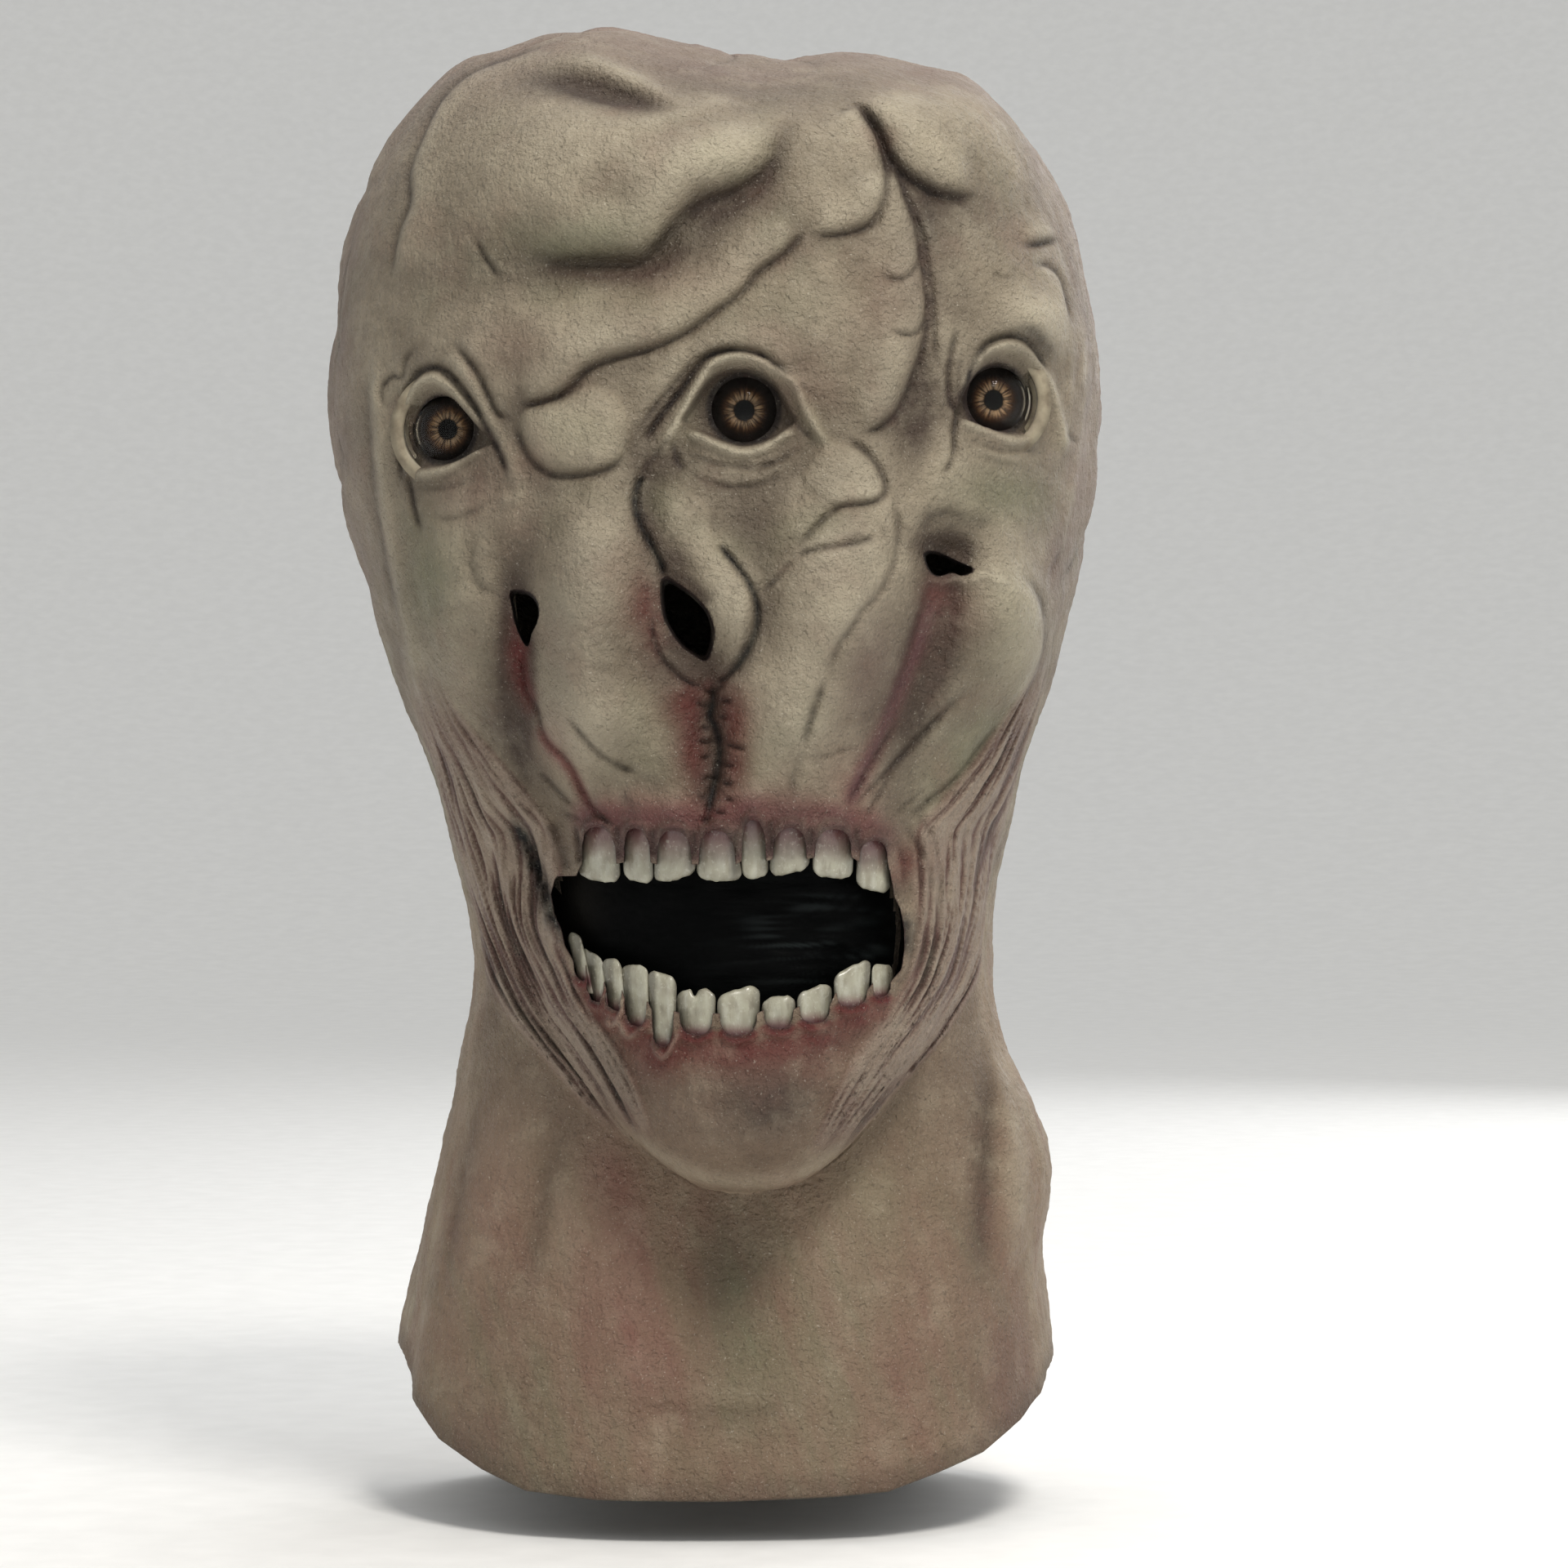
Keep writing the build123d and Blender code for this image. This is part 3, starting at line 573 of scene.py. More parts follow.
def sculpt_noses():
    pillow([(-56.6, 316.5), (-52, 319.4), (-44, 321.5), (-36, 325), (-29, 322), (-25.6, 315), (-25, 309),
            (-29, 303.5), (-37, 300.8), (-45, 300.6), (-51, 303), (-54.6, 308.5)], 2.2, 7.0)
    crease([(-59, 316), (-56.6, 310.5), (-53.6, 305.4), (-49.5, 301.6), (-45, 299.8), (-38, 299.6),
            (-31, 301.5),
            (-25, 306.5)],
           depth=1.2, width=1.2, left=0.4, right=0.5, spread=4, ink=0.4, ink_width=1.5, taper=7)
    crease([(-21.6, 300.4), (-23.6, 296), (-24, 291), (-22.3, 285.4), (-19.4, 280), (-16.6, 274.6),
            (-16.2, 271)],
           depth=2.4, width=0.8, left=1.6, right=0.8, spread=5, ink=0.6, ink_width=1.0, taper=2.5)
    crease([(-22.6, 297.5), (-22.4, 291), (-20.4, 284.5), (-17.6, 279)], depth=0.5, width=0.6, ink=0.75,
           taper=4)
    stroke([(-21.6, 300.4), (-23.6, 296), (-24, 291), (-22.3, 285.4), (-19.4, 280), (-16.6, 274.6),
            (-16.2, 271)],
           "black", 1.0, 0.85, 3)
    stroke([(-1.4, 280.8), (2.6, 276.2), (6.6, 271), (9.2, 265.4), (9.7, 259.6), (8.2, 254), (5, 248),
            (1, 244)],
           "black", 0.95, 0.80, 5)
    bump(-19, 287, 3.2, 10, -1.6, tilt=12)
    bump(5.6, 263, 2.6, 9, 1.4, tilt=-8)
    bump(12.5, 262, 3.4, 11, -1.2, tilt=-4)
    bump(-15, 292, 6.0, 9.0, 2.0, tilt=10)
    bump(-4, 276, 7, 14, 2.6, tilt=24)
    bump(0, 262, 6.5, 9, 2.8)
    crease([(-1.4, 280.8), (2.6, 276.2), (6.6, 271), (9.2, 265.4), (9.7, 259.6), (8.2, 254), (5, 248),
            (1, 244),
            (-2.6, 242)],
           depth=1.9, width=0.8, left=1.0, right=1.5, spread=5, ink=0.6, ink_width=1.0, taper=3)
    crease([(6.4, 258.5), (6, 252.5), (2.8, 247.5), (-1, 244.6)], depth=0.5, width=0.7, ink=0.5, taper=3)
    crease([(-19, 262), (-19.2, 257), (-17.6, 251), (-14, 246.2), (-10, 243), (-5, 241)],
           depth=1.1, width=0.8, left=1.0, right=0.5, spread=3.5, ink=0.5, taper=3)
    crease([(-2.4, 291), (-2.6, 286), (-1.6, 281)], depth=0.5, width=0.8, left=0.4, right=0.4, spread=3,
           ink=0.22, taper=4)
    crease([(-11, 295.5), (-9, 293), (-9.5, 290.5), (-11, 289)], depth=0.4, width=0.7, ink=0.2, taper=2)
    crease([(-15, 283.4), (-14, 281.5), (-13, 284)], depth=0.4, width=0.7, ink=0.3, taper=2)
    pillow([(28, 308), (35, 308.5), (41, 304.5), (44, 299), (44, 294.5), (40, 292), (33, 291), (27, 293),
            (22, 299)], 1.6, 6.0)
    crease([(33, 310), (38, 307.4), (42, 303.4), (44.5, 298), (44.2, 294.4), (42, 292.6), (38, 291.6),
            (32, 290.5), (27, 286.8), (22.6, 282), (19.6, 278.6)],
           depth=1.4, width=1.0, right=1.5, left=0.8, spread=6, ink=0.42, ink_width=1.4, taper=6)
    crease([(19.6, 277), (25, 278.6), (32, 279.9), (38, 281.2), (42, 283.5)],
           depth=1.1, width=0.9, left=0.9, right=1.2, spread=4.5, ink=0.55, ink_width=1.2, taper=4)
    stroke([(31, 280.6), (36, 282), (40, 282.6)], "wash", 0.45, 1.8, 3)
    crease([(19.4, 276.4), (15.4, 271.6), (11, 267)], depth=0.9, width=0.8, left=0.5, right=0.6, spread=4,
           ink=0.35, taper=3)
    crease([(41, 287.5), (43.5, 284.5), (45.5, 280)], depth=0.4, width=0.7, ink=0.2, taper=3)
    crease([(47, 297), (47.6, 291), (48.3, 285), (47.4, 277), (45, 271), (41, 265.6), (37.6, 262),
            (34, 256.6),
            (31, 252), (29, 246), (28, 243)],
           depth=1.0, width=1.1, left=0.7, right=1.3, spread=6, ink=0.3, ink_width=1.5, taper=10)
    crease([(28.2, 244), (26, 239), (24, 233), (22.6, 228), (22, 223.5)],
           depth=1.5, width=1.3, left=0.7, right=0.7, spread=4, ink=0.7, ink_width=1.4, taper=5)
    crease([(22, 225), (20, 218), (18.8, 211), (19, 206)], depth=0.7, width=1.2, ink=0.25, ink_width=2.0,
           taper=6)
    crease([(-68, 286), (-69.6, 281), (-70, 276), (-68, 270.8), (-64, 268), (-60, 267.6)],
           depth=0.8, width=1.6, left=1.2, right=0.4, spread=7, ink=0.16, ink_width=2.2, taper=8)
    bump(-64, 262, 4, 12, 1.0)


def sculpt_right_nose():
    """Sunk nostril with a ragged lower lip, and the cheek beside it."""
    bump(63, 279.5, 8, 3.6, -2.6, tilt=-8)
    ridge([(57, 271.6), (61.5, 270.8), (65, 272), (68, 271.4), (72, 273.6), (75, 271.6), (77.5, 269)], 1.8,
          1.6,
          taper=4)
    crease([(70, 275.6), (73, 274.4), (75.6, 272.6)], depth=0.8, width=0.7, ink=0.35, taper=2)
    crease([(55, 283), (56.2, 287.5), (61, 290), (68, 289), (76, 286.5)], depth=0.6, width=2.2, left=0.8,
           spread=5, ink=0.3, ink_width=3.0, taper=5)
    crease([(81, 274.5), (86, 271), (89.5, 265), (90.6, 258), (89.5, 250), (85.5, 240), (81, 233)],
           depth=1.2, width=1.4, right=1.8, left=0.5, spread=6, ink=0.28, ink_width=2.0, taper=9)
    crease([(98, 284), (95, 278), (91.5, 273)], depth=0.8, width=1.0, left=0.4, right=0.6, spread=4,
           ink=0.22)


def sculpt_lower_face():
    """Folds that are pulled from the nostrils down to the gums."""
    crease([(-55.4, 253), (-56.4, 247), (-55, 240), (-51.4, 235.5), (-50, 230), (-48, 226.5), (-44, 223.4),
            (-41.4, 219), (-39, 213), (-36, 208.4), (-32.6, 204.6), (-29.6, 202)],
           depth=1.7, width=1.1, left=1.3, right=1.1, spread=5, ink=0.35, ink_width=1.2, taper=4)
    crease([(-42, 235), (-37.4, 229), (-33, 223.6), (-28, 220), (-22, 217)],
           depth=1.1, width=1.1, left=0.8, right=0.8, spread=4, ink=0.62, ink_width=1.1, taper=5)
    stroke([(-24, 218), (-19, 215.5), (-15, 211)], "wash", 0.4, 2.0, 4)
    crease([(-53, 219.5), (-48.4, 215.2), (-44.4, 211), (-41, 207.6)], depth=1.1, width=1.0, left=0.7,
           right=0.7,
           spread=3, ink=0.4, taper=4)
    crease([(-46.5, 207), (-42, 205.4), (-38.4, 204.4)], depth=1.0, width=1.2, left=0.6, right=0.3, spread=3,
           ink=0.3, taper=3)
    stroke([(-28.6, 214), (-24.4, 208.6), (-20.6, 204.6)], "wash", 0.55, 1.8, 5)
    crease([(-3, 243), (-2.6, 238), (-3.4, 233), (-2, 229.5), (-1, 224), (-1.4, 217.5), (-3, 212), (-4, 206),
            (-5, 202)],
           depth=2.4, width=1.1, left=1.1, right=1.1, spread=4, ink=0.5, ink_width=1.0, taper=4)
    stroke([(-3, 243), (-2.6, 238), (-3.6, 233), (-1.6, 229.5), (-1, 224), (-2, 217.5), (-3, 212),
            (-4, 206)],
           "black", 0.9, 1.1, 3)
    for nick in ([(-7, 230.4), (-3, 229.4)], [(0, 225.8), (3, 225), (7, 223.8)],
                 [(-6.6, 215), (-4, 216), (0, 215.6)],
                 [(0, 210.6), (4, 209.4)], [(-6, 241), (-3, 240), (1, 242)], [(-6.4, 204.6), (-3, 203.6)],
                 [(-8, 237), (-3, 235.5)], [(-2, 220.6), (4, 219)], [(-2, 234), (2, 232)],
                 [(-8, 226.5), (-4, 226), (-1, 227)], [(-2, 238.4), (3.4, 237)], [(-7, 221), (-3, 222.4)],
                 [(-1, 215), (3.6, 214)], [(-7.6, 210.4), (-4, 210.8)], [(-3, 207), (1.6, 206)]):
        crease(nick, depth=1.5, width=0.9, left=1.0, right=0.8, spread=2.2, ink=0.5, ink_width=1.1, taper=2)
    crease([(58.6, 272), (57, 264), (55, 257), (52, 248), (49.4, 241), (46, 234)],
           depth=1.3, width=1.8, left=1.0, right=1.0, spread=6, ink=0.12, taper=9)
    crease([(50, 233), (47, 228.5), (44, 224), (40, 217.4), (36.4, 211.6), (33.6, 206.5)],
           depth=1.3, width=1.1, left=0.9, right=0.8, spread=4, ink=0.42, ink_width=1.3, taper=7)
    crease([(70, 241), (63, 235), (57, 228.6), (51, 222.4), (45, 216.6), (40, 212), (34.6, 207.6)],
           depth=1.3, width=1.2, left=1.0, right=0.8, spread=4.5, ink=0.45, ink_width=1.3, taper=12)
    crease([(48, 218), (44.6, 213), (41.4, 208), (39, 202.6)], depth=1.0, width=1.0, left=0.6, right=0.6,
           spread=3, ink=0.4, taper=5)
    crease([(80, 234), (73, 225), (66, 216), (57, 208.6), (51, 203.6)], depth=1.2, width=1.2, left=1.0,
           right=0.8, spread=4.5, ink=0.32, taper=8)
    crease([(38, 225.5), (30, 222.6), (23, 220.4)], depth=0.5, width=0.9, left=0.5, spread=3, ink=0.25,
           taper=5)
    crease([(58, 214), (52, 209), (47, 205)], depth=0.5, width=0.9, ink=0.25, taper=4)
    crease([(67, 213), (60, 210), (54, 210)], depth=0.5, width=0.9, ink=0.2, taper=4)


# Guides of the pulled strands of skin beside the mouth: height, outer and inner edge
LEFT_STRANDS = np.array([
    (112.0, -30.0, -18.0), (122.0, -40.0, -21.0), (130.0, -47.0, -24.0), (140.0, -56.0, -29.0),
                         (150.0, -65.0, -37.0),
    (160.0, -71.0, -42.5), (175.0, -77.0, -47.5), (190.0, -82.0, -46.5), (200.0, -85.0, -47.5),
    (210.0, -88.0, -54.0), (220.0, -88.0, -62.0), (235.0, -90.0, -74.0), (250.0, -92.0, -82.0),
])
RIGHT_STRANDS = np.array([
    (108.0, 22.0, 32.0), (120.0, 27.0, 42.0), (130.0, 32.0, 52.0), (140.0, 38.0, 62.0), (150.0, 46.0, 69.0),
    (160.0, 52.0, 75.0), (172.0, 54.5, 79.0), (185.0, 54.0, 82.0), (200.0, 54.0, 85.0), (210.0, 62.0, 89.0),
    (222.0, 72.0, 92.0), (240.0, 83.0, 96.0), (255.0, 89.0, 98.0),
])


def strand_field(guides, count, seed, height):
    """Long ridges that run between two guides; returns where they are and how deep the grooves are."""
    X, Z = relief.X, relief.Z
    first = monotone(Z, guides[:, 0], guides[:, 1])
    last = monotone(Z, guides[:, 0], guides[:, 2])
    across = (X - first) / (last - first)
    wobble = 0.9 * noise(X / 30, Z / 34, seed) + 0.25 * noise(X / 9, Z / 16, seed + 1)
    lines = across * count + wobble
    coarse = noise(lines * 0.55, Z / 52 + 7.3, seed + 2)
    fine = noise(lines * 1.25, Z / 36 + 2.1, seed + 3)
    ridged = 0.55 * (1 - 2.2 * np.abs(coarse)) + 0.52 * (1 - 2 * np.abs(fine))
    inside = smoothstep(-0.06, 0.10, across) * smoothstep(1.05, 0.93, across)
    span = (smoothstep(guides[0, 0], guides[0, 0] + 16, Z)
            * smoothstep(guides[-1, 0], guides[-1, 0] - 34, Z + 5 * noise(X / 4, Z / 60, seed + 4)))
    mask = inside * span
    relief.value += mask * height * ridged
    return mask, np.clip(0.45 - ridged, 0, 1)


def sculpt_strands():
    for guides, count, seed in ((LEFT_STRANDS, 17.0, 11), (RIGHT_STRANDS, 17.0, 23)):
        mask, groove = strand_field(guides, count, seed, 2.4)
        # Pink and plum paint over the strands; their grooves get a darker wash that is partly painted shade,
        # the deepest a dark line of painted shade, and their crests a painted highlight.
        paint["pink"].value = np.maximum(paint["pink"].value, mask * (0.76 + 0.24 * groove))
        paint["wash"].value = np.maximum(paint["wash"].value, mask * np.clip(0.22 + 1.5 * groove, 0, 0.95))
        paint["plum"].value = np.maximum(paint["plum"].value, mask * 0.42)
        paint["ink"].value = np.maximum(paint["ink"].value, mask * np.clip(2.2 * groove - 0.9, 0, 0.9))
        paint["pale"].value = np.maximum(paint["pale"].value,
                                        0.45 * mask * np.clip(0.2 - groove, 0, 0.2) * 5)
    for points in (
        [(-67, 224), (-64, 214), (-60, 206), (-57, 196), (-53.4, 186), (-50, 177), (-46.4, 168)],
        [(-71, 222), (-67, 208), (-64, 196), (-60, 182), (-56, 169), (-50, 156), (-43, 144)],
        [(-62, 218), (-57, 209), (-52.6, 200), (-49.4, 193), (-47, 188)],
        [(-56.6, 214), (-51.6, 206), (-47.6, 199), (-44.6, 193), (-43.4, 189)],
        [(-75.5, 212), (-72.6, 198), (-69.5, 182), (-65, 168), (-58, 153), (-51, 141), (-43, 130)],
    ):
        ridge(points, 1.5, 1.3, taper=12)
    pit = [(-60.5, 208), (-58.6, 203), (-56.4, 198), (-54.2, 192), (-52, 186), (-50.4, 180), (-48.6, 174)]
    crease(pit, depth=4.2, width=2.6, left=0.6, right=0.8, spread=4, ink=0, taper=9)
    stroke(pit, "black", 1.0, 2.4, 8)
    stroke([(-54, 191), (-51, 184), (-48.4, 178), (-46, 172)], "black", 1.0, 2.6, 3)
    flap = [(-49, 205), (-47, 200), (-45.6, 195), (-44.4, 189)]
    stroke(flap, "wash", 0.75, 2.2, 3)
    crease(flap, depth=1.0, width=1.8, left=0.4, right=0.4, spread=3, ink=0, taper=4)
    crease([(-41.6, 204), (-40.9, 198), (-40.6, 191)], depth=1.6, width=1.0, left=0.8, right=0.8, spread=2.4,
           ink=0.5, taper=3)
    for points in ([(49.5, 205), (54, 198), (57.5, 190), (58.4, 180)],
                   [(53, 208), (58.6, 199), (60.6, 186), (60, 172)],
                   [(47.5, 199), (50.4, 194), (51, 188), (52.6, 182)],
                   [(54.5, 180), (54, 172), (52.4, 163), (49, 155)]):
        crease(points, depth=1.0, width=1.0, left=0.5, right=0.5, spread=2.6, ink=0.25, taper=8)
    ridge([(50.6, 183), (52.6, 176), (53, 168), (51.4, 161), (49.4, 157)], 1.2, 1.6, taper=6)
    for i in range(16):
        x, z = 27 + 1.75 * i, 150.5 + 0.30 * i
        crease([(x, z), (x - 2.2, z - 7), (x - 6.4, z - 17 + 0.4 * i)], depth=0.55, width=0.7,
               left=0.25, right=0.25, spread=1.6, ink=0.10 + 0.08 * (i % 3), taper=6)
    for i in range(9):
        x, z = -23 - 1.9 * i, 139 + 1.0 * i
        crease([(x, z), (x + 1.4, z - 8), (x + 4.6, z - 16)], depth=0.55, width=0.8, left=0.3, right=0.3,
               spread=1.8, ink=0.12 + 0.08 * (i % 2), taper=6)


def gum_arch(tooth, count=9):
    """Scalloped gum line round one tooth, from its left papilla to its right one."""
    gum_left, gum_right, edge_left, edge_right, gum, papilla = tooth[:6]
    low_left = mix(gum_left, edge_left, 0.55) + 0.25
    low_right = mix(gum_right, edge_right, 0.55) - 0.25
    apex = 0.5 * (gum_left + gum_right)
    points = []
    for i in range(count):
        a = math.pi * (1 - i / (count - 1))
        half = (apex - low_left) if math.cos(a) < 0 else (low_right - apex)
        points.append((apex + half * math.copysign(abs(math.cos(a)) ** 0.8, math.cos(a)),
                       papilla + (gum - papilla) * math.sin(a) ** 0.75))
    return points


def mouth_hole():
    """Outline of the opening in the skin: the gums above and below, and the lips' two ends."""
    points = []
    for tooth in UPPER_TEETH:
        points += gum_arch(tooth)
    points += [(47.4, 187.0), (48.0, 183.0), (49.8, 179.0), (50.8, 173.5), (50.9, 168.0), (50.0, 162.0)]
    for tooth in LOWER_TEETH[::-1]:
        points += gum_arch(tooth)[::-1]
    points += [(-45.0, 168.5), (-46.0, 173.0), (-48.4, 178.0), (-49.2, 183.0), (-47.4, 188.2),
               (-41.6, 188.4)]
    return np.array(points)


MOUTH_HOLE = mouth_hole()


def sculpt_gums():
    """Swollen rims round each tooth, the roots above them and the torn curls at the lower left."""
    for tooth in UPPER_TEETH:
        arch = gum_arch(tooth)
        lift = [(x, z + 1.3) for x, z in arch]
        ridge(lift[1:-1], 2.0, 1.2, taper=3)
        stroke([(x, z + 2.6) for x, z in arch[1:-1]], "wash", 0.55, 1.0, 3)
        crease([(x, z + 0.2) for x, z in arch], depth=0.4, width=0.6, ink=0.25, ink_width=0.7, taper=2)
        middle, gum = 0.5 * (tooth[0] + tooth[1]), tooth[4]
        bump(middle, gum + 4.5, 3.4, 5.5, 1.1)
        dab("plum", middle, gum - 1.0, 5.8, 6.0, 0.70)
        stroke([(x, z + 0.6) for x, z in arch], "ink", 0.55, 0.7, 2)
    for left, right in zip(UPPER_TEETH, UPPER_TEETH[1:]):
        gap = 0.5 * (left[1] + right[0])
        # Plum gum between the teeth, with a darker wash that is partly painted shade in the gaps.
        stroke([(gap, left[4] + 1), (gap, left[5] + 5), (gap, left[5])], "plum", 0.95, 2.4, 2)
        stroke([(gap, left[4] + 1), (gap, left[5] + 4), (gap, left[5])], "wash", 0.7, 1.3, 2)
        crease([(gap, left[4] + 1), (gap, left[4] - 3), (gap, left[5] + 1)], depth=0.9, width=0.9, left=0.3,
               right=0.3,
               spread=2, ink=0.4, ink_width=1.2, taper=3)
    for tooth in LOWER_TEETH:
        arch = gum_arch(tooth)
        lip = [(x, z - 1.5) for x, z in arch]
        ridge(lip[1:-1], 1.7, 1.1, taper=3)
        crease([(x, z - 0.2) for x, z in arch[2:-2]], depth=0.5, width=0.6, ink=0, taper=2)
        stroke([(x, z - 0.9) for x, z in arch[1:-1]], "red", 1.0, 2.4, 1)
        stroke([(x, z - 0.2) for x, z in arch[1:-1]], "ink", 0.75, 0.7, 1)
        stroke([(x, z - 4.2) for x, z in arch[1:-1]], "red", 0.75, 3.2, 2)
    curls = ([(-37.5, 155), (-34.6, 153.6), (-32.4, 155), (-31.6, 151)],
             [(-32.6, 149), (-31, 146.6), (-28.6, 148.6), (-27.8, 152.6), (-28.6, 155)],
             [(-28.6, 149), (-27.4, 145), (-25.6, 143.4), (-23, 145.6), (-20.4, 146.8)],
             [(-19.4, 144.6), (-18, 140), (-16.4, 138.2), (-14.6, 139.6), (-13, 143), (-11.6, 146.4)])
    for curl in curls:
        ridge(curl, 2.4, 0.9, taper=2)
        # Painted highlight along the tops of the curls.
        stroke(curl, "pale", 0.18, 0.8, 2)
        stroke([(x + 1.4, z + 1.6) for x, z in curl], "red", 0.9, 1.2, 2)


def sculpt_chin_and_neck():
    rim = [(-66, 151), (-60, 145.5), (-52, 139), (-45, 133.6), (-36, 123.6), (-27, 114), (-17, 107),
           (-8, 102.6),
           (1, 100.4), (10, 100.4), (20, 102.4), (29, 107.8), (38, 116.5), (48, 128), (57, 140), (64, 149)]
    ridge([(x, z + 1.6) for x, z in rim], 0.9, 2.0, taper=14)
    # Painted highlight along the crest of the chin's rim.
    stroke([(x, z + 3.0) for x, z in rim], "pale", 0.22, 2.6, 16)
    crease([(-44, 121), (-50, 104), (-54, 84), (-58, 62)], depth=0.8, width=5.0, left=0.5, right=0.6,
           spread=12,
           ink=0.06, ink_width=5, taper=22)
    crease([(77, 146), (77.4, 132), (77, 118), (75.6, 98), (75, 80), (76, 62)], depth=1.3, width=6.0,
           left=1.2,
           right=0.6, spread=12, ink=0.06, ink_width=5.0, taper=24)
    ridge([(80, 150), (82, 132), (84, 112), (85, 92), (85, 70)], 1.4, 4.0, taper=20)
    crease([(-72, 128), (-76, 104), (-80, 82), (-84, 60)], depth=0.7, width=3.0, left=0.5, right=0.5,
           spread=9,
           ink=0.08, ink_width=4, taper=20)
    bump(-30, 60, 18, 40, 1.4, tilt=10)
    bump(34, 66, 20, 40, 1.4, tilt=-8)
    bump(2, 74, 14, 24, -1.4)
    crease([(-33, 44), (-20, 38), (-4, 36), (14, 37), (30, 41)], depth=0.5, width=3.0, left=0.6, spread=8,
           ink=0.05, taper=20)


def texture_of_skin():
    """Fine lumpiness of the cast latex and the brush-like wrinkles on the head."""
    X, Z = relief.X, relief.Z
    lumps = cloud(X / 3.4, Z / 3.4, 5, 3)
    patch = smoothstep(-0.2, 0.6, noise(X / 24, Z / 24, 8))
    relief.value += 0.20 * lumps * (0.6 + patch)
    relief.value += 0.15 * cloud(X / 1.3, Z / 1.3, 6, 2)
    rough_places = (
        (-40, 275, 22, 26, 0.30), (28, 276, 20, 20, 0.26), (-18, 396, 26, 14, 0.16), (66, 350, 16, 26, 0.20),
        (60, 292, 18, 10, 0.22), (18, 300, 14, 8, 0.18), (-66, 372, 18, 18, 0.16),
    )
    wrinkles = 1 - 2 * np.abs(cloud(X / 2.6 + 0.6 * noise(X / 7, Z / 7, 3), Z / 1.7, 17, 2))
    for x, z, across, up, amount in rough_places:
        place = np.exp(-((X - x) / across) ** 2 - ((Z - z) / up) ** 2)
        relief.value += amount * place * wrinkles
    hatch = noise((X + 0.7 * Z) / 1.3, (Z - 0.7 * X) / 7.0, 41)
    furrows = noise((X + 0.12 * (Z - 120)) / 1.2, Z / 11.0, 43)
    chin = np.exp(-((X - 2) / 34) ** 2 - ((Z - 124) / 12) ** 2)
    relief.value += 0.40 * furrows * chin
    # Painted shade in the chin's furrows.
    paint["wash"].value += 0.5 * np.clip(furrows - 0.1, 0, 1) * chin
    relief.value += 0.10 * hatch * np.exp(-((X - 2) / 26) ** 2 - ((Z - 393) / 13) ** 2)


